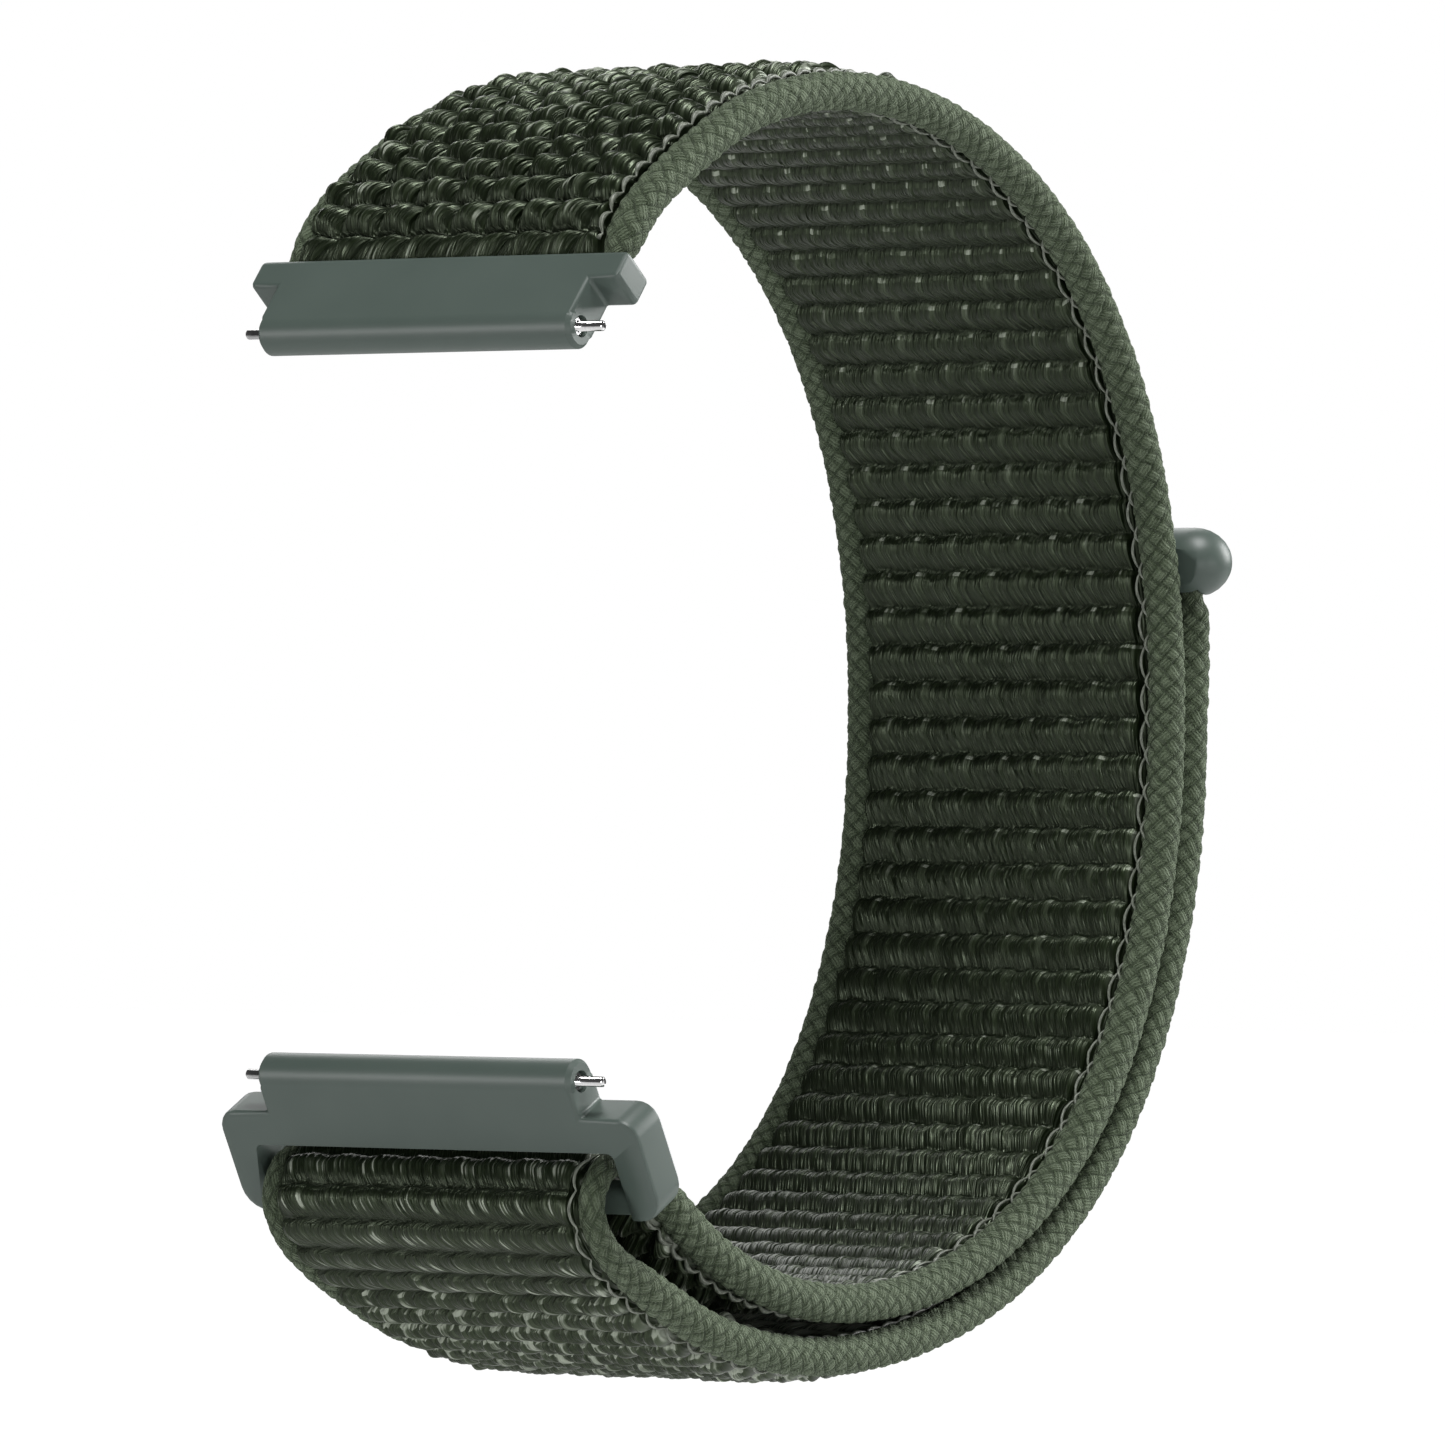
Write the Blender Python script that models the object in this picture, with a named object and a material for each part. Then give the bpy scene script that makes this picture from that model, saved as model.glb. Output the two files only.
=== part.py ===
"""Hook and loop watch strap with a spring-bar connector at each end.

A woven band starts in the upper connector, goes round the wrist, passes through the ring of the
lower connector, folds back over the ring's bar and lies on itself as a tail, which a hook patch
holds. A round bar closes the tail's end, so that it can't slip back through the ring.

The origin is midway between the two spring bars, where the watch's centre would be. +X points
from the watch into the wrist loop, +Y lies across the band, and +Z points from the lower
spring bar to the upper one. Sizes are in metres.
"""
import math

import bmesh
import bpy
from mathutils import Matrix, Vector

# The watch that it fits
pin_span = 0.0380
lug_width = 0.0200
lug_play = 0.00015

# Sizes that both connectors share
tube_radius = 0.00115
bar_play = 0.00005
edge_softening = 0.00022
softening_segments = 2
corner_segments = 5
clearance = 0.0003
cut_overrun = 0.0010
same_place_share = 0.1
merge_share = 0.001
round_sides = 32
small_round_sides = 20

# Upper connector, which holds the start of the band
upper_lean = math.radians(40.0)
upper_height = 0.00405
ear_height = 0.00175
ear_wall = 0.0006
ear_corner_radius = 0.0003
mouth_play = 0.0001
mouth_depth = 0.0011
neck_thickness = 0.0008
rod_channel_height = 0.00195
rod_radius = 0.00045
rod_play = 0.0001
rod_overhang = 0.0006
rod_end_play = 0.0002

# Lower connector, a closed ring that the band folds over
lower_lean = math.radians(28.0)
pin_to_window = 0.00352
window_height = 0.0024
window_corner_radius = 0.0004
ring_bar_height = 0.0016
ring_bar_thickness = 0.0015
ring_bar_rounding = 0.0005
ring_bar_segments = 4
ring_arm_width = 0.00187
shoulder_height = 0.0016
shoulder_radius = 0.0011
ring_foot_radius = 0.0014

# Spring bars
barrel_radius = 0.00052
barrel_wall = 0.00012
barrel_end_recess = 0.0002
crimp_length = 0.0004
tip_play = 0.00003
tip_radius = 0.00027
tip_reach = 0.0014
tip_chamfer = 0.00008
collar_length = 0.0009
collar_clearance = 0.00012
spring_wire_radius = 0.00006
spring_play = 0.00005
spring_curls = 14
points_per_curl = 9
spring_end_gap = 0.00015

# The woven band
loop_reach = 0.0541
loop_rise = 0.03192
loop_drop = 0.03117
cord_radius = 0.0010
web_thickness = 0.00145
pile_height = 0.0008
web_edge_gap = 0.0003
web_edge_chamfer = 0.0004
pinched_cord_radius = 0.00072
pinched_web_thickness = 0.0012
hem_thickness = 0.0004
hem_clearance = 0.00015

# The fold over the ring's bar, and the wedge between the layers behind it
fold_slack = 0.00038
ring_spread = 0.0026
wedge_length = 0.0300
wedge_start = 0.0040

# The tail, in three lengths that the hook patch lets peel one after another
tail_lengths = 3
tail_top_height = 0.00776
tail_end_lift = 0.0006
tail_lift_length = 0.0090
peel_axis_lift = 0.0001
hook_patch_thickness = 0.00035
hook_patch_length = 0.0200
hook_patch_half_width = 0.0080
hook_patch_end_gap = 0.0015

# The bar on the tail's end
end_bar_radius = 0.00189
end_bar_past_cord = 0.00045
end_bar_dome = 0.0021
end_bar_dome_steps = 8
end_bar_slot_depth = 0.0012
end_bar_cord_radius = 0.00086

# How finely the band is drawn
band_step = 0.0032
fold_step = 0.0008
steps_between_points = 24

# The band's centre line as shares of the loop's reach, and of its rise or drop
band_line_shares = (
    (0.085, 0.777), (0.148, 0.852), (0.258, 0.946), (0.378, 0.993), (0.498, 0.996),
    (0.615, 0.959), (0.722, 0.883), (0.816, 0.772), (0.891, 0.631), (0.945, 0.471),
    (0.979, 0.301), (0.997, 0.129), (1.000, -0.045), (0.991, -0.221), (0.965, -0.397),
    (0.920, -0.566), (0.854, -0.719), (0.768, -0.843), (0.667, -0.933), (0.556, -0.985),
    (0.439, -1.000), (0.322, -0.974), (0.209, -0.901), (0.110, -0.782),
)

# The fold's centre line round the ring's bar: angle from +X, and share of the fold's radius
fold_line_shares = (
    (math.radians(75.0), 1.03), (math.radians(118.0), 1.00), (math.radians(155.0), 1.15),
    (math.radians(188.0), 1.32), (math.radians(218.0), 1.37), (math.radians(253.0), 1.60),
    (math.radians(281.0), 2.10),
)

# Sizes that follow from the ones above
tube_half_length = lug_width / 2 - lug_play
bore_radius = barrel_radius + bar_play
barrel_inner_radius = barrel_radius - barrel_wall
collar_radius = barrel_inner_radius - tip_play
crimp_radius = tip_radius + tip_play
spring_coil_radius = barrel_inner_radius - spring_wire_radius - spring_play
cord_centre = lug_width / 2
web_half_width = cord_centre - cord_radius - web_edge_gap
layer_pitch = 2 * cord_radius + clearance
mouth_half_width = cord_centre + pinched_cord_radius + clearance
mouth_thickness = 2 * (pinched_cord_radius + mouth_play)
ear_half_width = mouth_half_width + ear_wall
rod_half_length = web_half_width + rod_overhang
rod_channel_radius = rod_radius + rod_play
neck_half_width = rod_half_length + rod_end_play
ring_thickness = 2 * tube_radius
window_half_width = cord_centre + cord_radius + clearance
ring_half_width = window_half_width + ring_arm_width
fold_radius = ring_bar_height / 2 + pinched_cord_radius + fold_slack
end_bar_half_length = cord_centre + end_bar_past_cord
end_bar_slot_thickness = 2 * (end_bar_cord_radius + clearance)
end_bar_slot_half_width = cord_centre + end_bar_cord_radius + clearance
upper_pin = Vector((0, 0, pin_span / 2))
lower_pin = Vector((0, 0, -pin_span / 2))
upper_turn = Matrix.Rotation(upper_lean, 3, "Y")
lower_turn = Matrix.Rotation(-lower_lean, 3, "Y")
bar_to_pin = pin_to_window + window_height + ring_bar_height / 2
ring_bar = lower_pin - lower_turn @ Vector((0, 0, bar_to_pin))


def clear_scene():
    """Removes whatever the scene holds."""
    for item in list(bpy.data.objects):
        bpy.data.objects.remove(item, do_unlink=True)


def material(name, colour, roughness, metallic=0.0):
    """A plain material of one colour."""
    made = bpy.data.materials.new(name)
    made.use_nodes = True
    shader = made.node_tree.nodes["Principled BSDF"]
    shader.inputs["Base Color"].default_value = (*colour, 1)
    shader.inputs["Roughness"].default_value = roughness
    shader.inputs["Metallic"].default_value = metallic
    return made


def add_object(name, data, finish, origin=Vector(), lean=0.0):
    """Puts an object in the scene, with its origin and its lean about Y."""
    made = bpy.data.objects.new(name, data)
    made.location = origin
    made.rotation_euler = (0, lean, 0)
    if finish:
        made.data.materials.append(finish)
    bpy.context.scene.collection.objects.link(made)
    return made


def mesh_from(name, bm):
    """Turns a bmesh into a mesh, with its faces outwards and its round sides smooth."""
    bmesh.ops.recalc_face_normals(bm, faces=bm.faces)
    mesh = bpy.data.meshes.new(name)
    bm.to_mesh(mesh)
    bm.free()
    mesh.shade_smooth()
    mesh.set_sharp_from_angle(angle=math.radians(30.0))
    return mesh


def slab(outline, thickness, centre=0.0):
    """A bmesh slab: an outline of (y, z) points, drawn out along X by its thickness."""
    bm = bmesh.new()
    corners = [bm.verts.new((centre - thickness / 2, y, z)) for y, z in outline]
    face = bm.faces.new(corners)
    drawn = bmesh.ops.extrude_face_region(bm, geom=[face])
    moved = [part for part in drawn["geom"] if isinstance(part, bmesh.types.BMVert)]
    bmesh.ops.translate(bm, verts=moved, vec=(thickness, 0, 0))
    return bm


def round_corners(bm, places, radius):
    """Rounds the edges along X that stand at the given (y, z) corners."""
    nearby = cut_overrun * same_place_share
    chosen = []
    for edge in bm.edges:
        first, second = edge.verts
        along_x = abs(first.co.y - second.co.y) < nearby and abs(first.co.z - second.co.z) < nearby
        at_corner = any(math.dist((first.co.y, first.co.z), place) < nearby for place in places)
        if along_x and at_corner:
            chosen.append(edge)
    bmesh.ops.bevel(
        bm, geom=chosen, offset=radius, affect="EDGES", segments=corner_segments, profile=0.5,
    )


def turned(profile, sides, origin=Vector()):
    """A bmesh turned about Y from a profile of (y, radius) points that starts and ends on the axis."""
    bm = bmesh.new()
    line = [bm.verts.new((radius, y, 0)) for y, radius in profile]
    edges = [bm.edges.new(pair) for pair in zip(line, line[1:])]
    bmesh.ops.spin(
        bm, geom=line + edges, cent=(0, 0, 0), axis=(0, 1, 0), angle=math.tau, steps=sides,
        use_merge=True,
    )
    bmesh.ops.remove_doubles(bm, verts=bm.verts, dist=cut_overrun * merge_share)
    bmesh.ops.translate(bm, verts=bm.verts, vec=origin)
    return bm


def rod_profile(low, high, radius, chamfer=0.0):
    """The profile of a plain rod from low to high, with a chamfer on its ends."""
    return [
        (low, 0), (low, radius - chamfer), (low + chamfer, radius),
        (high - chamfer, radius), (high, radius - chamfer), (high, 0),
    ] if chamfer else [(low, 0), (low, radius), (high, radius), (high, 0)]


def cutter(name, bm, owner):
    """A hidden object that cuts its owner, in the owner's own place."""
    made = add_object(name, mesh_from(name, bm), None, owner.location, owner.rotation_euler.y)
    made.hide_render = True
    made.display_type = "WIRE"
    return made


def combine(owner, other, operation):
    """Adds an exact Boolean to the owner."""
    change = owner.modifiers.new(other.name, "BOOLEAN")
    change.solver = "EXACT"
    change.operation = operation
    change.object = other


def soften(owner):
    """Rounds the sharp edges of a moulded piece a little."""
    bevel = owner.modifiers.new("soft_edges", "BEVEL")
    bevel.width = edge_softening
    bevel.segments = softening_segments
    bevel.limit_method = "ANGLE"
    bevel.angle_limit = math.radians(40.0)


def block(low, high):
    """A bmesh box between two corners."""
    bm = bmesh.new()
    bmesh.ops.create_cube(bm, size=1)
    size = Vector(high) - Vector(low)
    bmesh.ops.scale(bm, vec=size, verts=bm.verts)
    bmesh.ops.translate(bm, verts=bm.verts, vec=(Vector(high) + Vector(low)) / 2)
    return bm


def tube_end_profile():
    """The tube of a connector: a rod with softened ends."""
    return rod_profile(-tube_half_length, tube_half_length, tube_radius, edge_softening)


def upper_connector(finish):
    """The connector that the band starts in: a tongue with a round foot, two ears and a mouth."""
    ear_foot = upper_height - ear_height
    outline = [
        (-tube_half_length, 0), (tube_half_length, 0), (tube_half_length, ear_foot),
        (ear_half_width, ear_foot), (ear_half_width, upper_height),
        (-ear_half_width, upper_height), (-ear_half_width, ear_foot),
        (-tube_half_length, ear_foot),
    ]
    bm = slab(outline, 2 * tube_radius)
    corners = [(side * ear_half_width, z) for side in (-1, 1) for z in (ear_foot, upper_height)]
    round_corners(bm, corners, ear_corner_radius)
    made = add_object("upper_connector", mesh_from("upper_connector", bm), finish, upper_pin, upper_lean)
    soften(made)
    combine(made, cutter("upper_tube", turned(tube_end_profile(), round_sides), made), "UNION")
    reach = tube_half_length + cut_overrun
    bore = turned(rod_profile(-reach, reach, bore_radius), small_round_sides)
    combine(made, cutter("upper_bore", bore, made), "DIFFERENCE")
    mouth_floor = upper_height - mouth_depth
    mouth = block(
        (-mouth_thickness / 2, -mouth_half_width, mouth_floor),
        (mouth_thickness / 2, mouth_half_width, upper_height + cut_overrun),
    )
    combine(made, cutter("upper_mouth", mouth, made), "DIFFERENCE")
    neck = block(
        (-neck_thickness / 2, -neck_half_width, rod_channel_height),
        (neck_thickness / 2, neck_half_width, upper_height),
    )
    combine(made, cutter("upper_neck", neck, made), "DIFFERENCE")
    channel = turned(
        rod_profile(-neck_half_width, neck_half_width, rod_channel_radius), small_round_sides,
        Vector((0, 0, rod_channel_height)),
    )
    combine(made, cutter("upper_rod_channel", channel, made), "DIFFERENCE")
    return made


def lower_connector(finish):
    """The connector that the band folds over: a tube, a plate and a ring with a rounded bar."""
    foot = -ring_bar_height / 2
    window_top = ring_bar_height / 2 + window_height
    shoulder = bar_to_pin - shoulder_height
    outline = [
        (-ring_half_width, foot), (ring_half_width, foot), (ring_half_width, shoulder),
        (tube_half_length, shoulder), (tube_half_length, bar_to_pin),
        (-tube_half_length, bar_to_pin), (-tube_half_length, shoulder),
        (-ring_half_width, shoulder),
    ]
    bm = slab(outline, ring_thickness)
    round_corners(bm, [(-ring_half_width, foot), (ring_half_width, foot)], ring_foot_radius)
    round_corners(bm, [(-ring_half_width, shoulder), (ring_half_width, shoulder)], shoulder_radius)
    made = add_object("lower_connector", mesh_from("lower_connector", bm), finish, ring_bar, -lower_lean)
    soften(made)
    at_pin = Vector((0, 0, bar_to_pin))
    tube = turned(tube_end_profile(), round_sides, at_pin)
    combine(made, cutter("lower_tube", tube, made), "UNION")
    reach = tube_half_length + cut_overrun
    bore = turned(rod_profile(-reach, reach, bore_radius), small_round_sides, at_pin)
    combine(made, cutter("lower_bore", bore, made), "DIFFERENCE")
    past = foot - cut_overrun
    opening = [
        (-window_half_width, past), (window_half_width, past),
        (window_half_width, window_top), (-window_half_width, window_top),
    ]
    window = slab(opening, ring_thickness + 2 * cut_overrun)
    tops = [(-window_half_width, window_top), (window_half_width, window_top)]
    round_corners(window, tops, window_corner_radius)
    combine(made, cutter("lower_window", window, made), "DIFFERENCE")
    return made


def add_ring_bar(ring):
    """The bar that closes the ring below its window, narrower than the arms and rounded."""
    reach = (window_half_width + ring_half_width) / 2
    half_height = ring_bar_height / 2
    half_depth = ring_bar_thickness / 2
    bm = block((-half_depth, -reach, -half_height), (half_depth, reach, half_height))
    across = [edge for edge in bm.edges if abs(edge.verts[0].co.y - edge.verts[1].co.y) > reach]
    bmesh.ops.bevel(
        bm, geom=across, offset=ring_bar_rounding, affect="EDGES", segments=ring_bar_segments,
        profile=0.5,
    )
    combine(ring, cutter("lower_ring_bar", bm, ring), "UNION")


def spring_bar(side_name, pin, lean, chrome, steel):
    """A spring bar: a crimped barrel, two tips with collars, and the spring between them."""
    half = tube_half_length - barrel_end_recess
    inner = barrel_inner_radius
    profile = [
        (-half, crimp_radius), (-half, barrel_radius - tip_chamfer),
        (-half + tip_chamfer, barrel_radius), (half - tip_chamfer, barrel_radius),
        (half, barrel_radius - tip_chamfer), (half, crimp_radius),
        (half - crimp_length, crimp_radius), (half - crimp_length, inner),
        (-half + crimp_length, inner), (-half + crimp_length, crimp_radius),
        (-half, crimp_radius),
    ]
    name = side_name + "_bar_barrel"
    add_object(name, mesh_from(name, turned(profile, small_round_sides)), chrome, pin, lean)
    collar_outer = half - crimp_length - collar_clearance
    collar_inner = collar_outer - collar_length
    tip_end = tube_half_length + tip_reach
    for end_name, side in (("near", -1), ("far", 1)):
        shape = [
            (collar_inner, 0), (collar_inner, collar_radius), (collar_outer, collar_radius),
            (collar_outer, tip_radius), (tip_end - tip_chamfer, tip_radius),
            (tip_end, tip_radius - tip_chamfer), (tip_end, 0),
        ]
        shape = [(side * y, radius) for y, radius in shape]
        name = side_name + "_bar_tip_" + end_name
        add_object(name, mesh_from(name, turned(shape, small_round_sides)), chrome, pin, lean)
    spring(side_name + "_bar_spring", collar_inner - spring_end_gap, pin, lean, steel)


def spring(name, half_length, pin, lean, finish):
    """A coil spring along Y, as one helix with closed end turns."""
    reach = half_length - spring_wire_radius
    count = spring_curls * points_per_curl
    places = []
    for index in range(count + 1):
        share = index / count
        turn = share * spring_curls * math.tau
        y = -reach + 2 * reach * share
        places.append(Vector((spring_coil_radius * math.cos(turn), y, spring_coil_radius * math.sin(turn))))
    pitch = 2 * reach / spring_curls
    print(name, "least gap between its curls, mm:", round((pitch - 2 * spring_wire_radius) * 1000, 2))
    tube(name, places, [1] * len(places), spring_wire_radius, finish, pin, lean, sides=1)


def tube(name, places, shares, radius, finish, origin, lean=0.0, sides=2):
    """A tube along places, each with its share of the radius."""
    curve = bpy.data.curves.new(name, "CURVE")
    curve.dimensions = "3D"
    curve.bevel_depth = radius
    curve.bevel_resolution = sides
    curve.use_fill_caps = True
    line = curve.splines.new("POLY")
    line.points.add(len(places) - 1)
    for point, place, share in zip(line.points, places, shares):
        point.co = (*place, 1)
        point.radius = share
    return add_object(name, curve, finish, origin, lean)


def smooth_line(points):
    """A smooth curve through points, as closely spaced places."""
    ends = [2 * points[0] - points[1]] + points + [2 * points[-1] - points[-2]]
    places = []
    for first, second, third, fourth in zip(ends, ends[1:], ends[2:], ends[3:]):
        for step in range(steps_between_points):
            t = step / steps_between_points
            places.append(0.5 * (
                2 * second + (third - first) * t
                + (2 * first - 5 * second + 4 * third - fourth) * t ** 2
                + (3 * second - first - 3 * third + fourth) * t ** 3
            ))
    return places + [points[-1]]


class Line:
    """A line in the XZ plane that is read by the distance along it."""

    def __init__(self, places):
        self.places = places
        self.reached = [0.0]
        for first, second in zip(places, places[1:]):
            self.reached.append(self.reached[-1] + (second - first).length)
        self.length = self.reached[-1]

    def at(self, distance):
        """The place at a distance, and the direction there."""
        distance = min(max(distance, 0.0), self.length)
        index = 0
        while index < len(self.places) - 2 and self.reached[index + 1] < distance:
            index += 1
        first, second = self.places[index], self.places[index + 1]
        span = self.reached[index + 1] - self.reached[index]
        share = (distance - self.reached[index]) / span
        return first.lerp(second, share), (second - first).normalized()

    def nearest(self, place):
        """The distance along the line of its place nearest to the one given."""
        index = min(range(len(self.places)), key=lambda i: (self.places[i] - place).length)
        return self.reached[index]


def outward(direction):
    """The side of the band that faces away from the wrist, for a band that runs this way."""
    return Vector((-direction.z, 0, direction.x))


def band_points():
    """Points of the band's centre line from the upper connector's mouth to the ring."""
    hem = upper_pin + upper_turn @ Vector((0, 0, rod_channel_height + rod_radius + hem_clearance))
    top = upper_pin + upper_turn @ Vector((0, 0, upper_height))
    points = [hem, top]
    for reach_share, height_share in band_line_shares:
        height = loop_rise if height_share > 0 else loop_drop
        points.append(Vector((reach_share * loop_reach, 0, height_share * height)))
    return points


def fold_points():
    """Points of the fold's centre line round the ring's bar."""
    return [
        ring_bar + share * fold_radius * Vector((math.cos(angle), 0, math.sin(angle)))
        for angle, share in fold_line_shares
    ]


def tail_points(band):
    """Points of the tail's centre line, outside the band, from the ring to the end bar."""
    points = []
    distance = band.length - wedge_start
    while True:
        place, direction = band.at(distance)
        back = band.length - distance
        spread = max(0.0, 1 - back / wedge_length) ** 2 * ring_spread
        lift = eased(place.z, tail_top_height - tail_lift_length, tail_top_height) * tail_end_lift
        points.append(place + outward(direction) * (layer_pitch + spread + lift))
        if points[-1].z > tail_top_height:
            return points
        distance -= band_step


def strap_line():
    """The whole centre line, and the distances of the ring, the tail's start and the tail's cover."""
    to_ring = band_points()
    band = Line(smooth_line(to_ring))
    fold = fold_points()
    tail = tail_points(band)
    share = (tail_top_height - tail[-2].z) / (tail[-1].z - tail[-2].z)
    tail[-1] = tail[-2].lerp(tail[-1], share)
    whole = Line(smooth_line(to_ring + fold + tail))
    covered_at = band.nearest(tail[-1]) - end_bar_radius - clearance
    return whole, whole.nearest(to_ring[-1]), whole.nearest(tail[0]), covered_at


def stations(low, high, fine_low, fine_high):
    """Distances from low to high, closer together where the band folds."""
    found = [low]
    while True:
        inside = fine_low <= found[-1] < fine_high
        step = fold_step if inside else band_step
        ahead = found[-1] + step
        if not inside and found[-1] < fine_low < ahead:
            ahead = fine_low
        if ahead > high - step / 2:
            return found + [high]
        found.append(ahead)


def woven_web(name, line, distances, heights_at, finish, origin):
    """The woven middle of the band, lofted along the line between its skin face and its loop face."""
    bm = bmesh.new()
    rings = []
    for distance in distances:
        place, direction = line.at(distance)
        up = outward(direction)
        low, high = heights_at(distance)
        cut = min(web_edge_chamfer, (high - low) / 2)
        section = [
            (web_half_width, low + cut), (web_half_width, high - cut),
            (web_half_width - cut, high), (cut - web_half_width, high),
            (-web_half_width, high - cut), (-web_half_width, low + cut),
            (cut - web_half_width, low), (web_half_width - cut, low),
        ]
        ring = []
        for y, height in section:
            corner = place + up * height + Vector((0, y, 0)) - origin
            ring.append(bm.verts.new(corner))
        rings.append(ring)
    for first, second in zip(rings, rings[1:]):
        for index, corner in enumerate(first):
            beside = (index + 1) % len(first)
            bm.faces.new((corner, first[beside], second[beside], second[index]))
    bm.faces.new(rings[0])
    bm.faces.new(list(reversed(rings[-1])))
    bmesh.ops.remove_doubles(bm, verts=bm.verts, dist=cut_overrun * merge_share)
    return add_object(name, mesh_from(name, bm), finish, origin)


def edge_cord(name, side, line, distances, radius_at, finish, origin):
    """The braided cord on one edge of the band."""
    places = []
    shares = []
    for distance in distances:
        place, direction = line.at(distance)
        places.append(place + Vector((0, side * cord_centre, 0)) - origin)
        shares.append(radius_at(distance) / cord_radius)
    return tube(name, places, shares, cord_radius, finish, origin)


def eased(distance, low, high):
    """Goes smoothly from 0 at low to 1 at high."""
    share = min(max((distance - low) / (high - low), 0.0), 1.0)
    return share * share * (3 - 2 * share)


def peel_axis(line, distance):
    """The place that a length of the tail turns about: the line on its outer face."""
    place, direction = line.at(distance)
    return place + tail_outward(direction) * (web_thickness / 2 + pile_height + peel_axis_lift)


def tail_outward(direction):
    """The tail runs back the other way, so its outer side is on its other hand."""
    return -outward(direction)


def hook_patch(line, start, end, finish, origin):
    """The hook patch on the inner face of the tail's last length."""
    bm = bmesh.new()
    steps = max(4, round((end - start) / band_step * 2))
    depth = web_thickness / 2 + (layer_pitch - web_thickness - hook_patch_thickness) / 2
    rings = []
    for index in range(steps + 1):
        place, direction = line.at(start + (end - start) * index / steps)
        inner = -tail_outward(direction)
        ring = []
        for y, height in (
            (-hook_patch_half_width, depth), (hook_patch_half_width, depth),
            (hook_patch_half_width, depth + hook_patch_thickness),
            (-hook_patch_half_width, depth + hook_patch_thickness),
        ):
            ring.append(bm.verts.new(place + inner * height + Vector((0, y, 0)) - origin))
        rings.append(ring)
    for first, second in zip(rings, rings[1:]):
        for index, corner in enumerate(first):
            beside = (index + 1) % len(first)
            bm.faces.new((corner, first[beside], second[beside], second[index]))
    bm.faces.new(rings[0])
    bm.faces.new(list(reversed(rings[-1])))
    return add_object("hook_patch", mesh_from("hook_patch", bm), finish, origin)


def end_bar(line, finish, origin):
    """The round bar moulded on the tail's end, domed, with a flat towards the band."""
    place, direction = line.at(line.length)
    dome = []
    for index in range(end_bar_dome_steps + 1):
        angle = index / end_bar_dome_steps * math.pi / 2
        y = end_bar_half_length + end_bar_dome * math.cos(angle)
        dome.append((y, end_bar_radius * math.sin(angle)))
    profile = [(-y, radius) for y, radius in dome] + list(reversed(dome))
    centre = place - origin
    made = add_object(
        "end_bar", mesh_from("end_bar", turned(profile, round_sides, centre)), finish, origin,
    )
    inner = -tail_outward(direction)
    turn = math.atan2(direction.x, direction.z)
    flat_at = layer_pitch + tail_end_lift - cord_radius - clearance
    reach = end_bar_half_length + end_bar_dome + cut_overrun
    side = 1 if inner.x > 0 else -1
    near, past = sorted((side * flat_at, side * (end_bar_radius + cut_overrun)))
    flat = block((near, -reach, -2 * end_bar_radius), (past, reach, 2 * end_bar_radius))
    slot = block(
        (-end_bar_slot_thickness / 2, -end_bar_slot_half_width, -end_bar_radius - cut_overrun),
        (end_bar_slot_thickness / 2, end_bar_slot_half_width, end_bar_slot_depth - end_bar_radius),
    )
    for name, bm in (("end_bar_flat", flat), ("end_bar_slot", slot)):
        bmesh.ops.rotate(bm, verts=bm.verts, cent=(0, 0, 0), matrix=Matrix.Rotation(turn, 3, "Y"))
        bmesh.ops.translate(bm, verts=bm.verts, vec=centre)
        combine(made, cutter(name, bm, made), "DIFFERENCE")
    return made


def start_rod(finish):
    """The rod in the band's sewn hem, which keeps the band in the upper connector."""
    profile = rod_profile(-rod_half_length, rod_half_length, rod_radius, tip_chamfer)
    seat = Vector((0, 0, rod_channel_height))
    mesh = mesh_from("start_rod", turned(profile, small_round_sides, seat))
    return add_object("start_rod", mesh, finish, upper_pin, upper_lean)


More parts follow.
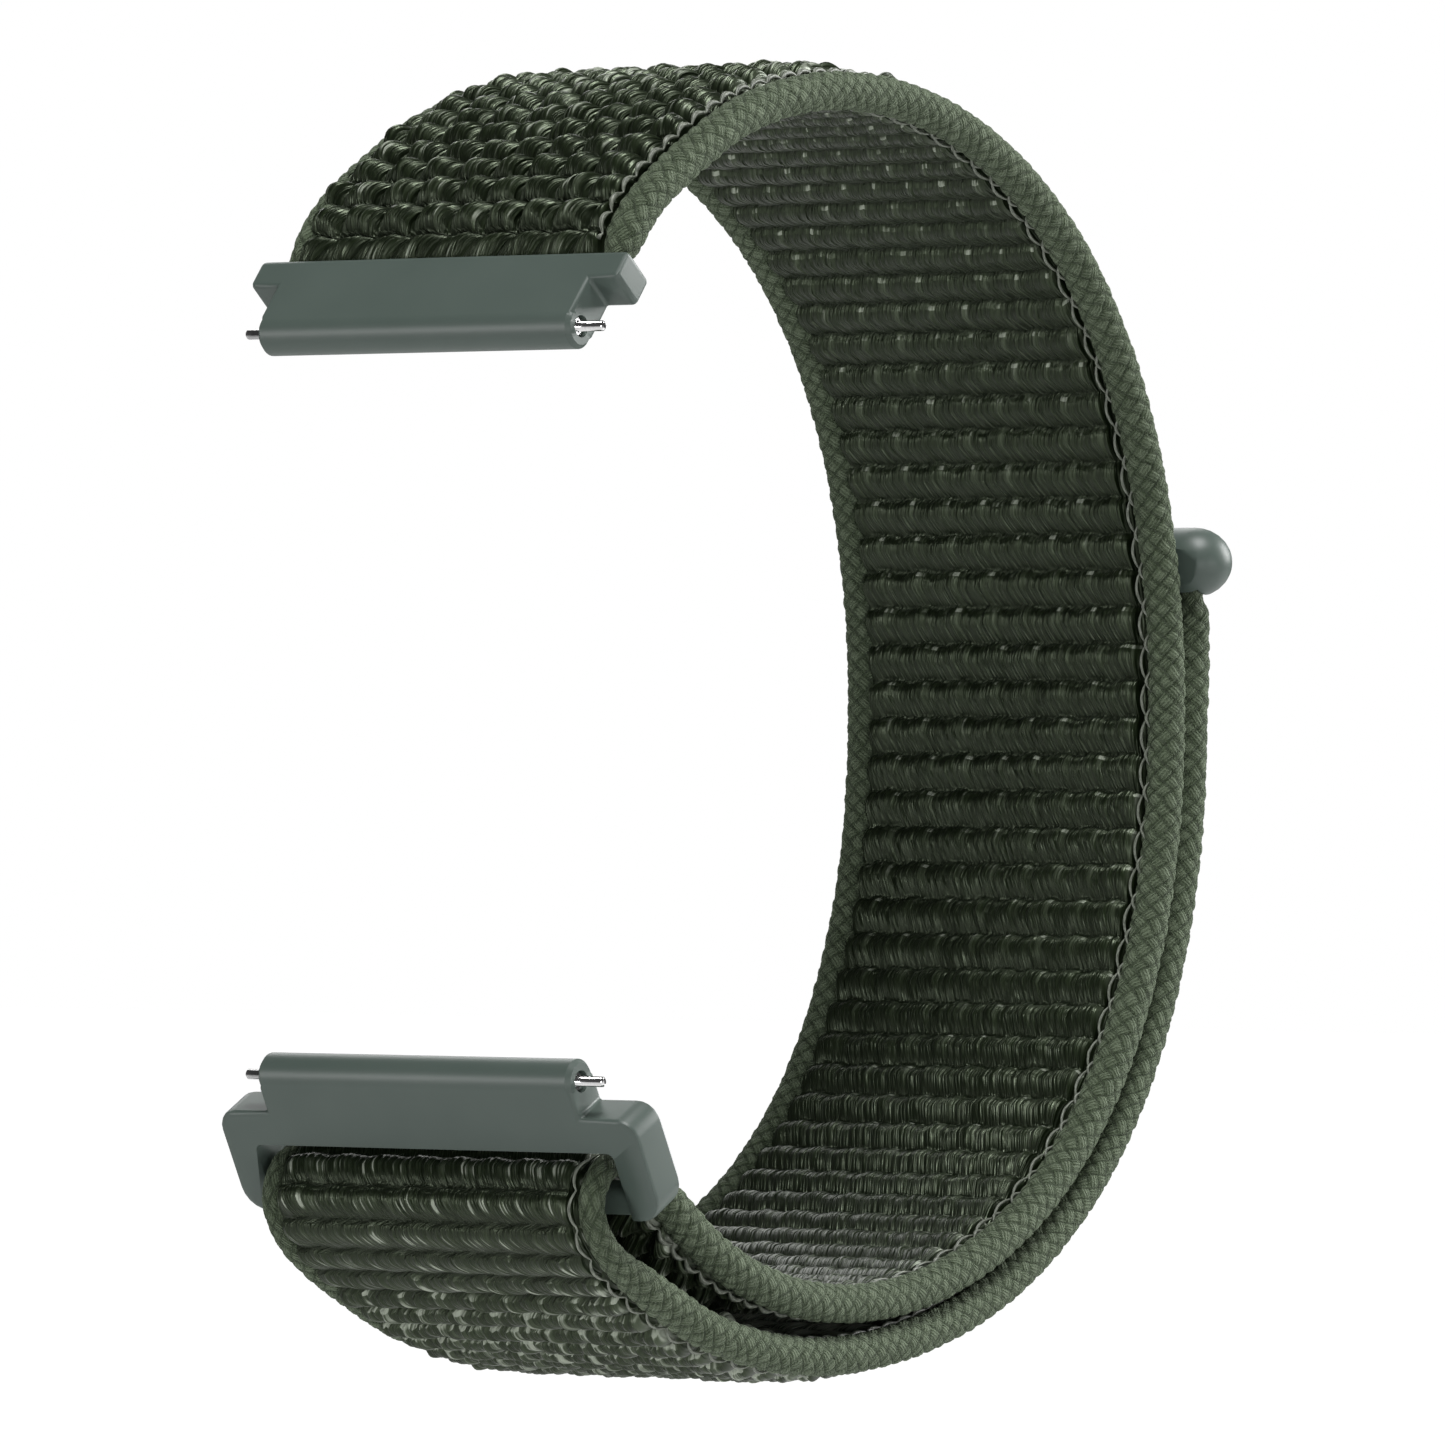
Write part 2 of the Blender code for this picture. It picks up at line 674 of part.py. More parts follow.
def build():
    """Models every piece."""
    clear_scene()
    moulded = material("moulded_connector", (0.075, 0.095, 0.083), 0.42)
    chrome = material("spring_bar_chrome", (0.78, 0.78, 0.78), 0.12, 1.0)
    steel = material("spring_steel", (0.45, 0.45, 0.45), 0.35, 1.0)
    weave = material("woven_loop", (0.022, 0.028, 0.016), 0.6)
    braid = material("braided_edge", (0.075, 0.105, 0.065), 0.85)
    hooks = material("hook_tape", (0.012, 0.015, 0.010), 0.7)
    rod = material("rod_plastic", (0.05, 0.055, 0.05), 0.5)

    upper_connector(moulded)
    start_rod(rod)
    add_ring_bar(lower_connector(moulded))
    spring_bar("upper", upper_pin, upper_lean, chrome, steel)
    spring_bar("lower", lower_pin, -lower_lean, chrome, steel)

    line, ring_at, tail_at, covered_at = strap_line()
    mouth_at = line.nearest(upper_pin + upper_turn @ Vector((0, 0, upper_height)))
    floor_at = mouth_at - mouth_depth + clearance
    pinch = 2 * cord_radius
    fold_start = ring_at - pinch
    front_at = line.nearest(fold_points()[-3])
    slot_at = line.length - end_bar_radius

    def free_at(distance):
        """The band is free but in the mouth, in the ring and in the end bar's slot."""
        free = eased(distance, mouth_at, mouth_at + pinch)
        free *= 1 - eased(distance, ring_at - pinch, ring_at) * (1 - eased(distance, front_at, tail_at))
        free *= 1 - eased(distance, slot_at - pinch / 2, slot_at)
        return free

    def cord_radius_at(distance):
        """The end bar squeezes the cords less than the mouth and the ring do."""
        least = end_bar_cord_radius if distance > tail_at else pinched_cord_radius
        return least + free_at(distance) * (cord_radius - least)

    def web_heights_at(distance):
        """The web is thin in the hem, squeezed where the cord is, and piled up where it lies open."""
        if distance < floor_at:
            return -hem_thickness / 2, hem_thickness / 2
        free = free_at(distance)
        flat = (pinched_web_thickness + free * (web_thickness - pinched_web_thickness)) / 2
        on_tail = eased(distance, front_at, tail_at)
        loop_pile = free * pile_height * (1 - eased(distance, covered_at - pinch, covered_at))
        skin_pile = free * pile_height * on_tail
        return -flat - skin_pile, flat + loop_pile

    band_end = fold_start - clearance
    band_distances = [0.0, floor_at - clearance, floor_at, mouth_at, mouth_at + pinch / 2]
    band_distances += stations(mouth_at + pinch, band_end, line.length, line.length)
    root = Vector()
    woven_web("band_web", line, band_distances, web_heights_at, weave, root)
    fold_distances = stations(fold_start, tail_at, fold_start, tail_at)
    woven_web("fold_web", line, fold_distances, web_heights_at, weave, root)
    cord_distances = [floor_at, mouth_at, mouth_at + pinch / 2]
    cord_distances += stations(mouth_at + pinch, tail_at, fold_start, tail_at)
    for end_name, side in (("near", -1), ("far", 1)):
        name = "band_cord_" + end_name
        edge_cord(name, side, line, cord_distances, cord_radius_at, braid, root)

    entry = line.length - end_bar_radius + end_bar_slot_depth - clearance
    span = (entry - tail_at) / tail_lengths
    for number in range(1, tail_lengths + 1):
        start = tail_at + clearance + span * (number - 1)
        end = tail_at + span * number
        axis = peel_axis(line, start - clearance / 2)
        fine = slot_at - pinch / 2 if number == tail_lengths else end
        distances = stations(start, end, fine, end)
        prefix = "tail_" + str(number)
        woven_web(prefix + "_web", line, distances, web_heights_at, weave, axis)
        for end_name, side in (("near", -1), ("far", 1)):
            name = prefix + "_cord_" + end_name
            edge_cord(name, side, line, distances, cord_radius_at, braid, axis)
        print(prefix, "turns about, mm:", [round(value * 1000, 3) for value in axis])
        print(prefix, "length, mm:", round((end - start) * 1000, 2))

    patch_end = slot_at - hook_patch_end_gap
    hook_patch(line, patch_end - hook_patch_length, patch_end, hooks, axis)
    end_bar(line, moulded, axis)
    print("ring bar, mm:", [round(value * 1000, 3) for value in ring_bar])
    print("band from hem to fold, mm:", round(fold_start * 1000, 1))
    print("whole band, mm:", round(line.length * 1000, 1))


build()
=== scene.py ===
# %% [markdown]
# # Dressing a hook and loop watch strap
#
# The strap is one woven band between two moulded connectors. The band leaves the upper connector,
# goes round the wrist, runs through the ring of the lower connector and lies back on itself.
# The frame holds the solids that MuJoCo moves. This file puts the looks on them: the puffy
# weave, the braided cords on the band's edges, the stitches between them, and the hard pieces.

# %% Load the frame and keep its box
import math

import bpy
import numpy as np
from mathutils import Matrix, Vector


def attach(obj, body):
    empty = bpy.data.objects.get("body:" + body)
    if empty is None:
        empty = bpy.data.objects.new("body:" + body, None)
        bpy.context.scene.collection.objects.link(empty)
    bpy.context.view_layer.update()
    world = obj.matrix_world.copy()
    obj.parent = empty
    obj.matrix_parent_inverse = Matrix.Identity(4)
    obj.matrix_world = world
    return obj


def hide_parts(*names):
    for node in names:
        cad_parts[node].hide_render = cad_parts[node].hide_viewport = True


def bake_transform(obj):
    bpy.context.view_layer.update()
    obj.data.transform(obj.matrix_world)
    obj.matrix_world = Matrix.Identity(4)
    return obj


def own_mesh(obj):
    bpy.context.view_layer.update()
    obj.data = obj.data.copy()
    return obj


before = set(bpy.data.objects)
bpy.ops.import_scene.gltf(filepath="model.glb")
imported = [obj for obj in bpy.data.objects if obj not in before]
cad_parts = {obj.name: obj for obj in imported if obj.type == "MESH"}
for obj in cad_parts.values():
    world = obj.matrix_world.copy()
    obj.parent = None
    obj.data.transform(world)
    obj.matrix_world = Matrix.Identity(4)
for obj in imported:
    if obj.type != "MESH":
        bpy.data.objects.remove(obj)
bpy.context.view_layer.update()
bpy.ops.object.select_all(action="DESELECT")
mm = 0.001

# %% [markdown]
# ## The camera
#
# A wrong camera makes every later comparison useless, so it comes first. The photograph looks
# level at the strap, from in front of the connectors and to one side. A long lens from 0.6 m
# gives the same small difference in size between the near and the far edge of the band.

# %% Camera
view_target = Vector((26.45, 0.0, -0.94)) * mm
view_distance = 600 * mm
view_azimuth = math.radians(-55)
from_target = Vector((math.sin(view_azimuth), -math.cos(view_azimuth), 0))
bpy.ops.object.camera_add(location=view_target + from_target * view_distance)
camera = bpy.context.object
camera.name = "product_camera"
camera.rotation_euler = (-from_target).to_track_quat("-Z", "Y").to_euler()
camera.data.sensor_width = 36
camera.data.lens = 283.55
camera.data.clip_start = 0.01
bpy.context.scene.camera = camera
print("camera at", [round(v, 4) for v in camera.location])

# %% [markdown]
# ## Floor, light and background
#
# The photograph has a white ground, a broad light from above and a bright line along each tube.
# The white room is the world, whose strength is 1 for the camera, which is white, and far lower
# for the light that falls on the strap. The floor lies well below the strap, so that the peeled
# tail stays above it, and no lamp is lower than the floor, because it would give no light. The
# floor shows most of its own white to the camera, all of it further off, and keeps the strap's
# faint shadow.

# %% World
light_on_strap = 0.06
scene = bpy.context.scene
scene.view_settings.view_transform = "Standard"
room = bpy.data.worlds.new("white_room")
scene.world = room
room.use_nodes = True
nodes, links = room.node_tree.nodes, room.node_tree.links
nodes.clear()
shown = nodes.new("ShaderNodeBackground")
shown.inputs["Color"].default_value = (1, 1, 1, 1)
shown.inputs["Strength"].default_value = 1.0
lighting = nodes.new("ShaderNodeBackground")
lighting.inputs["Color"].default_value = (1, 1, 1, 1)
lighting.inputs["Strength"].default_value = light_on_strap
path = nodes.new("ShaderNodeLightPath")
room_mix = nodes.new("ShaderNodeMixShader")
room_out = nodes.new("ShaderNodeOutputWorld")
links.new(path.outputs["Is Camera Ray"], room_mix.inputs[0])
links.new(lighting.outputs[0], room_mix.inputs[1])
links.new(shown.outputs[0], room_mix.inputs[2])
links.new(room_mix.outputs[0], room_out.inputs["Surface"])
print("world strength on the strap:", light_on_strap)

# %% Floor
floor_height = -112 * mm
floor_size = 6
paper_white = 0.7
own_white_near, own_white_far = 0.82, 1.0
fade_from, fade_to = 90 * mm, 300 * mm
bpy.ops.mesh.primitive_plane_add(size=floor_size, location=(0, 0, floor_height))
floor = bpy.context.object
floor.name = "floor"
paper = bpy.data.materials.new("white_paper")
paper.use_nodes = True
nodes, links = paper.node_tree.nodes, paper.node_tree.links
nodes.clear()
matt = nodes.new("ShaderNodeBsdfDiffuse")
matt.inputs["Color"].default_value = (paper_white, paper_white, paper_white, 1)
own_white = nodes.new("ShaderNodeEmission")
own_white.inputs["Color"].default_value = (1, 1, 1, 1)
place = nodes.new("ShaderNodeTexCoord")
away = nodes.new("ShaderNodeVectorMath")
away.operation = "LENGTH"
fade = nodes.new("ShaderNodeMapRange")
fade.inputs["From Min"].default_value = fade_from
fade.inputs["From Max"].default_value = fade_to
fade.inputs["To Min"].default_value = own_white_near
fade.inputs["To Max"].default_value = own_white_far
path = nodes.new("ShaderNodeLightPath")
seen = nodes.new("ShaderNodeMath")
seen.operation = "MULTIPLY"
both = nodes.new("ShaderNodeAddShader")
paper_out = nodes.new("ShaderNodeOutputMaterial")
links.new(place.outputs["Object"], away.inputs[0])
links.new(away.outputs["Value"], fade.inputs["Value"])
links.new(fade.outputs["Result"], seen.inputs[0])
links.new(path.outputs["Is Camera Ray"], seen.inputs[1])
links.new(seen.outputs[0], own_white.inputs["Strength"])
links.new(matt.outputs[0], both.inputs[0])
links.new(own_white.outputs[0], both.inputs[1])
links.new(both.outputs[0], paper_out.inputs["Surface"])
floor.data.materials.append(paper)
print("floor at", floor_height)


# %% Lamps
def soft_lamp(name, place, width, power, height=None):
    """A lamp that faces the strap, with its place and size in metres and its power in watts."""
    bpy.ops.object.light_add(type="AREA", location=place)
    lamp = bpy.context.object
    lamp.name = name
    lamp.data.shape = "RECTANGLE"
    lamp.data.size = width
    lamp.data.size_y = height or width
    lamp.data.energy = power
    towards = view_target - Vector(place)
    lamp.rotation_euler = towards.to_track_quat("-Z", "Y").to_euler()


soft_lamp("lamp_above", (-0.06, -0.12, 0.48), 0.18, 2.5)
soft_lamp("lamp_near_side", (-0.06, -0.50, -0.03), 0.16, 0.42)
soft_lamp("lamp_low_front", (-0.34, -0.36, -0.05), 0.08, 0.34)
soft_lamp("lamp_right", (0.42, -0.22, 0.16), 0.24, 2.3)
soft_lamp("lamp_left", (-0.46, 0.31, 0.0), 0.09, 0.95, 0.14)
soft_lamp("lamp_behind", (0.34, 0.30, 0.26), 0.30, 0.8)
bpy.ops.object.select_all(action="DESELECT")

# %% [markdown]
# ## The strap's route
#
# Everything soft follows one line in the XZ plane, so that line is written once. The points are
# the ones that the solids were lofted through, in millimetres: out of the upper connector, round
# the wrist, round the ring's bar, and back outside the band to the end bar. A smooth curve
# through them is sampled closely, and then read by the distance along it.

# %% Points of the line
band_points = [
    (1.64, 20.95), (2.6, 22.1), (4.6, 24.8), (8.01, 27.2), (13.96, 30.2), (20.45, 31.7),
    (26.94, 31.79), (33.27, 30.61), (39.06, 28.19), (44.15, 24.64), (48.2, 20.14),
    (51.12, 15.03), (52.96, 9.61), (53.94, 4.12), (54.1, -1.4), (53.61, -6.89),
    (52.21, -12.37), (49.77, -17.64), (46.2, -22.41), (41.55, -26.28), (36.08, -29.08),
    (30.08, -30.7), (23.75, -31.17), (17.42, -30.36), (11.31, -28.08), (5.95, -24.37),
]
fold_points = [
    (3.66, -23.04), (2.26, -23.26), (1.17, -24.01), (0.67, -25.28), (1.1, -26.54),
    (2.27, -27.84), (3.92, -28.85),
]
tail_points = [
    (6.7, -30.21), (10.25, -31.81), (13.77, -32.83), (17.29, -33.49), (20.82, -33.79),
    (24.29, -33.77), (27.72, -33.46), (31.09, -32.9), (34.41, -32.07), (37.67, -30.93),
    (40.78, -29.42), (43.7, -27.59), (46.41, -25.41), (48.86, -22.89), (50.93, -20.11),
    (52.68, -17.12), (54.06, -13.98), (55.13, -10.72), (55.86, -7.39), (56.27, -3.99),
    (56.43, -0.66), (56.59, 2.72), (56.53, 6.17), (56.27, 7.76),
]
print("points:", len(band_points), len(fold_points), len(tail_points))


# %% Smooth line, and how to read it
steps_per_point = 24
look_ahead = 0.3


def smooth_line(points, steps=steps_per_point):
    """Closely spaced places on a smooth curve through the points."""
    points = np.array(points, float)
    ends = np.vstack([2 * points[0] - points[1], points, 2 * points[-1] - points[-2]])
    places = []
    t = (np.arange(steps) / steps)[:, None]
    for a, b, c, d in zip(ends, ends[1:], ends[2:], ends[3:]):
        bend = (2 * a - 5 * b + 4 * c - d) * t**2 + (3 * b - a - 3 * c + d) * t**3
        places.append(0.5 * (2 * b + (c - a) * t + bend))
    return np.vstack(places + [points[-1:]])


line = smooth_line(band_points + fold_points + tail_points)
reached = np.concatenate([[0], np.cumsum(np.linalg.norm(np.diff(line, axis=0), axis=1))])
line_end = reached[-1]


def place_at(distance):
    """(x, z) on the line at each distance, in millimetres."""
    return np.stack([np.interp(distance, reached, line[:, k]) for k in (0, 1)], axis=-1)


def outward_at(distance):
    """The side of the band that faces away from the wrist, before the fold."""
    further = place_at(np.minimum(distance + look_ahead, line_end))
    ahead = further - place_at(np.maximum(distance - look_ahead, 0))
    ahead /= np.linalg.norm(ahead, axis=-1, keepdims=True)
    return np.stack([-ahead[..., 1], ahead[..., 0]], axis=-1)


print("line's length, mm:", round(float(line_end), 2))

# %% [markdown]
# ## Where the band is squeezed
#
# The band is squeezed in the connector's mouth, in the ring and in the end bar's slot, and open
# between them. The tail hides the outer face of the band that it lies on. These distances and
# sizes, in millimetres, are shared by the weave, the cords and the stitches. The far cord sits
# a little further in than the near one, where the band is free.

# %% Distances along the line
mouth_at = 1.50
ring_at = 143.87
front_at = 152.06
tail_at = 158.85
covered_at = 65.69
slot_at = line_end - 1.89
entry_at = slot_at + 0.90
tail_span = (entry_at - tail_at) / 3
middle_of_tail = [tail_at + tail_span * (number + 0.5) for number in range(3)]
cord_radius = 1.0
pinched_radius = 0.72
cord_centre = 10.0
far_cord_centre = 9.7
print("middles of the tail's lengths:", [round(float(d), 1) for d in middle_of_tail])


# %% Squeeze
squeeze_run = 2.0
slot_run = 1.0


def eased(value, low, high):
    """Goes smoothly from 0 at low to 1 at high."""
    t = np.clip((value - low) / (high - low), 0, 1)
    return t * t * (3 - 2 * t)


def openness(distance):
    """1 where the band is free, 0 where it is squeezed."""
    out_of_mouth = eased(distance, mouth_at, mouth_at + squeeze_run)
    out_of_ring = eased(distance, front_at, tail_at)
    in_ring = eased(distance, ring_at - squeeze_run, ring_at) * (1 - out_of_ring)
    return out_of_mouth * (1 - in_ring) * (1 - eased(distance, slot_at - slot_run, slot_at))


def cord_radius_at(distance):
    """The radius of the cords, in millimetres."""
    return pinched_radius + openness(distance) * (cord_radius - pinched_radius)


print("radius of the cords at the middle of the band:", float(cord_radius_at(70.0)))

# %% [markdown]
# ## Rolled sheets
#
# The weave and the cords are height fields: their surface is a regular grid whose points are
# pushed in and out. Hand modelling can't place thousands of loops, so Blender's grid is added
# with the right number of faces, its points are placed with NumPy, and its two long edges are
# merged, which rolls it into a closed tube. The first and last rows meet on the middle, so the
# tube is closed there as well. The UV map holds places along and across, for the materials.

# %% Rolled grid
merge_distance = 0.002 * mm
end_step = 0.01
uv_scale = 10


def rolled_grid(name, points, uv, **fields):
    """A closed tube. Each row of points goes once round it, and ends on its first point."""
    rows, columns = points.shape[:2]
    bpy.ops.mesh.primitive_grid_add(x_subdivisions=columns - 1, y_subdivisions=rows - 1, size=1)
    made = bpy.context.object
    made.name = made.data.name = name
    mesh = made.data
    mesh.vertices.foreach_set("co", points.reshape(-1).astype(np.float32))
    corner = np.zeros(len(mesh.loops), np.int32)
    mesh.loops.foreach_get("vertex_index", corner)
    corner_uv = uv.reshape(-1, 2)[corner].reshape(-1).astype(np.float32)
    mesh.uv_layers.active.data.foreach_set("uv", corner_uv)
    for field_name, values in fields.items():
        layer = mesh.attributes.new(field_name, "FLOAT", "POINT")
        layer.data.foreach_set("value", values.reshape(-1).astype(np.float32))
    bpy.ops.object.mode_set(mode="EDIT")
    bpy.ops.mesh.select_all(action="SELECT")
    bpy.ops.mesh.remove_doubles(threshold=merge_distance)
    bpy.ops.mesh.normals_make_consistent(inside=False)
    bpy.ops.object.mode_set(mode="OBJECT")
    bpy.ops.object.shade_smooth()
    made.select_set(False)
    return made


def closed_ends(rows, ends=None):
    """Rows with their first and last repeated, or with other rows put there."""
    first, last = (rows[:1], rows[-1:]) if ends is None else ends
    return np.concatenate([first, rows, last])


def places_along(low, high, count):
    """Distances of a piece's rows, with one more row close to each end."""
    return np.concatenate([[low], np.linspace(low + end_step, high - end_step, count + 1), [high]])


def placed(distance, y, height):
    """Points in metres for distances along the line, places across and heights above the line."""
    centre, out = place_at(distance), outward_at(distance)
    flat = centre + out * height[..., None]
    return np.stack([flat[..., 0], y, flat[..., 1]], axis=-1) * mm


print("one row of five:", [round(float(d), 2) for d in places_along(0.0, 2.0, 2)])

# %% [markdown]
# ## The weave
#
# Under a loupe the web is a row of puffy rolls across the band, 2 mm apart. Each roll is made of
# soft loops of yarn that run along the band, 0.42 mm wide, in groups of five. On the outer face
# they stand high and curl over in lumps, one lump to a group. On the inner face they lie flatter,
# and one loop in five is pale. No two loops are quite alike, so height, tone and start vary from
# loop to loop with a fixed seed. On the far side the weave reaches 0.9 mm further out, over the
# inner half of the cord. Face 1 is the outer one, and face 2 the inner one.

# %% Sizes of the weave
outer, inner = 1, 2
row_pitch = 2.0
loop_width = 0.4244
group = 5
columns_per_loop = 4
rows_per_roll = 12
rows_per_fold_roll = 15
loops_outside = 43
loops_inside = 41
far_reach = 0.9
half_widths = [loop_width * loops / 2 for loops in (loops_outside, loops_inside)]
print("half widths of the weave, mm:", half_widths)


# %% Random numbers that stay the same for a loop and a roll
def speckle(first, second, seed):
    """A number from 0 to 1 for each pair of whole numbers."""
    value = np.sin(first * 12.9898 + second * 78.233 + seed * 37.719) * 43758.5453
    return value - np.floor(value)


print("three of them:", [round(float(speckle(k, 1, 1)), 2) for k in range(3)])

# %% [markdown]
# The rolls are 2 mm apart on the surface, not on the middle line, and the outside of the fold is
# half as long again as the line. So the rolls are counted along a line beside the route.

# %% Rolls counted on each face
sample_step = 0.2
loop_side_height = 1.0
skin_side_height = -0.8


def length_beside(height):
    """The length along a line that runs beside the route, at each distance."""
    samples = np.arange(0, line_end, sample_step)
    beside = place_at(samples) + outward_at(samples) * height
    lengths = np.concatenate([[0], np.cumsum(np.linalg.norm(np.diff(beside, axis=0), axis=1))])
    return lambda distance: np.interp(distance, samples, lengths)


length_on = {outer: length_beside(loop_side_height), inner: length_beside(skin_side_height)}
print("lengths of the two faces, mm:", [length(line_end) for length in length_on.values()])

# %% [markdown]
# A loop doesn't run straight along the band. On the outer face and on the tail it curls from one
# side to the other, and elsewhere it only bows. The numbers below are places in a roll, from 0 to
# 1, and how far the loop has drifted there.

# %% Drift of the loops
curl_of_loop = [(0, 0), (0.06, -0.46), (0.35, -0.40), (0.65, -0.04), (0.94, 0.50), (1, 0)]
bow_of_loop = [(0, 0), (0.06, -0.02), (0.40, -0.16), (0.94, 0.22), (1, 0)]
curl_size = 1.05
curl_starts = (ring_at + 4, ring_at + 9)


def drift_of(distance, u, face):
    """How far a loop has drifted towards the near side, in millimetres, at part u of a roll."""
    curl = np.interp(u, *zip(*curl_of_loop))
    bow = np.interp(u, *zip(*bow_of_loop))
    curled = 1.0 if face == outer else eased(distance, *curl_starts)
    return curl_size * curled * curl + (1 - curled) * bow


print("drift at a quarter of a roll, mm:", round(float(drift_of(70.0, 0.25, outer)), 2))

# %% [markdown]
# ## Tone, painted light and painted highlights of the loops
#
# The light doesn't fall on the weave evenly, and its colour carries painted light and shade. It is
# painted paler at the strap's top, and at its bottom, inside and on the tail, and painted darker in
# the valleys, between the lumps and down each roll. Each point of the mesh carries a tone, from dark
# to pale, which holds this painted light and shade as well as the loops' own differences. It also
# carries a shine field, a painted highlight that says how strongly single strands may light up there.
# Distances are in millimetres along the line, and widths and places of the humps are parts of a roll.


# %% Tone, painted light and painted highlights
def bell(u, centre, width):
    """A smooth hump, 1 at its centre."""
    return np.exp(-(((u - centre) / width) ** 2))


# Distances where painted light makes the weave paler: at the strap's top and at its bottom. The outer
# face gets painted light at the top and in the shaded gap past the ring, and painted shade in the
# valleys between the lumps.
painted_light_at_top = (10, 28)
painted_light_at_bottom = (118, 134)
outer_dark, outer_valley_painted_shade, outer_top_painted_light, outer_gap_painted_light = -0.09, -0.24, 0.34, 0.40


def outer_look(distance, u, in_group):
    """What the outer face adds to the tone: painted shade in the valleys between lumps, painted light
    at the top and in the shaded gap past the ring. Also its shine, painted highlights on the crests.
    """
    tone = outer_dark + outer_valley_painted_shade * eased(in_group, 0.65, 1.0)
    tone = tone + outer_top_painted_light * eased(distance, *painted_light_at_top)
    tone = tone + outer_gap_painted_light * eased(distance, ring_at, ring_at + 3)
    shine = bell(u, 0.40, 0.24) * np.clip(1.3 - 1.2 * np.abs(2 * in_group - 0.8), 0, 1)
    return tone, shine


# Painted light and shade on the inner face: loops darker down each roll and inside the band, pale
# loops paler at the bottom, fold rolls paler in the middle and darker at their ends, and painted
# glints at the tops of the tail's rolls.
pale_on_band, pale_off_fold, pale_on_tail = 0.40, 0.30, 0.04
roll_painted_shade, tail_painted_glints, fold_painted_shading = 0.12, 0.36, 0.20
band_inside_painted_shade, bottom_painted_light, bottom_dark = 0.07, 0.10, 0.05


def inner_look(distance, u, pale):
    """What the inner face adds to the tone: painted shade down each roll and inside the band, painted
    light on the pale loops at the bottom, painted light and shade across the fold's rolls, and painted
    glints at the tops of the tail's rolls. Also its shine.
    """
    on_tail = eased(distance, front_at + 2, tail_at + 2)
    on_fold = eased(distance, ring_at, ring_at + 2) * (1 - on_tail)
    at_bottom = (1 - on_fold - on_tail) * eased(distance, *painted_light_at_bottom)
    painted_shade_down_roll = 1 - (0.75 - 0.5 * on_tail) * eased(u, 0.1, 0.9)
    pale_tone = pale_on_band - pale_off_fold * on_fold + pale_on_tail * on_tail
    tone = np.where(pale, pale_tone, 0.0) * painted_shade_down_roll
    tone = tone - roll_painted_shade * u * (1 - 0.5 * on_tail)
    tone = tone + tail_painted_glints * on_tail * bell(u, 0.07, 0.05)
    tone = tone - band_inside_painted_shade * (1 - on_tail) + np.where(pale, bottom_painted_light, -bottom_dark) * at_bottom
    tone = tone + fold_painted_shading * on_fold * np.cos(2 * np.pi * (u - 0.5))
    shine = on_fold * bell(u, 0.5, 0.26) + 0.40 * on_tail * bell(u, 0.35, 0.25)
    return tone, shine + 0.50 * at_bottom * bell(u, 0.45, 0.30)


print("outer tone at the top:", round(float(outer_look(30.0, 0.5, 0.5)[0]), 2))

# %% [markdown]
# ## Relief of the loops
#
# A roll rises and falls as an arch, a group of loops as a lump, and each loop is rounded on top.
# The product of these is the relief. The UV map counts loops across and rolls along, and starts
# at another number on each face, so that the material can tell the faces apart.

# %% Relief of the loops
roll_start = {outer: 0.4, inner: 0.0}
roll_wave = 0.04
group_shifts = {outer: 5.0, inner: 2.0}
arch_lean = {outer: 1.0, inner: 0.66}
arch_fullness = 0.62
lump_depth = {outer: 0.70, inner: 0.10}
lump_power = 2.4
loop_groove, groove_power = 0.16, 1.6
least_height, height_spread = 0.86, 0.18
tone_spread, valley_painted_shade = 0.16, 0.25
loops_between_faces, rolls_between_faces = 100, 200


def loop_relief(distance, y, edge, face):
    """Relief from 0 to about 1, then tone with painted light and shade, shine, drift and the two UV
    places of each point.
    """
    wave = roll_wave * np.sin(2 * np.pi * y / (group * loop_width))
    along = length_on[face](distance) / row_pitch + roll_start[face] + wave
    roll = np.floor(along)
    u = along - roll
    counted = (y + edge) / loop_width
    strand = np.floor(counted + 1e-6)
    across = counted - strand
    in_turn = (strand + np.floor(speckle(roll, 3, face) * group_shifts[face])) % group
    in_group = (in_turn + across) / group
    arch = np.sin(np.pi * u ** arch_lean[face]) ** arch_fullness
    lump = 1 - lump_depth[face] * np.abs(2 * in_group - 1) ** lump_power
    own = least_height + height_spread * speckle(strand, roll, face + 5)
    rounded_top = 1 - loop_groove * np.abs(2 * across - 1) ** groove_power
    if face == outer:
        tone, shine = outer_look(distance, u, in_group)
    else:
        tone, shine = inner_look(distance, u, in_turn == 1)
    # Valleys between the rolls are darker: painted shade.
    tone = tone + tone_spread * speckle(strand, roll, face + 9) - valley_painted_shade * (1 - arch)
    uv = (counted + loops_between_faces * face, along + rolls_between_faces * face)
    drift = drift_of(distance, u, face)
    return arch * lump * own * rounded_top, tone, shine, drift, np.stack(uv, axis=-1)


crest = loop_relief(np.array(71.0), np.array(0.1), half_widths[0], outer)[0]
print("a crest:", round(float(crest), 2))

# %% [markdown]
# ## Heights of the weave
#
# The loops stand on a thin web. They stand highest where the outer face is free, lower under the
# tail, which presses on them, and lowest where the band is squeezed. Between the ring and the
# place where the tail lies down there is a gap, and they stand up again on both of its sides.

# %% Heights of the two faces
squeezed_base, free_base = 0.50, 0.425
least_rise = 0.14
covered_rise, uncovered_rise = 0.20, 1.02
skin_rise_free, skin_rise_past_ring, skin_rise_on_tail = 0.48, 0.34, 0.46
gap_opens, gap_closes = (126, 137), (166, 178)
past_bar = (ring_at + 1.6, ring_at + 4.0)


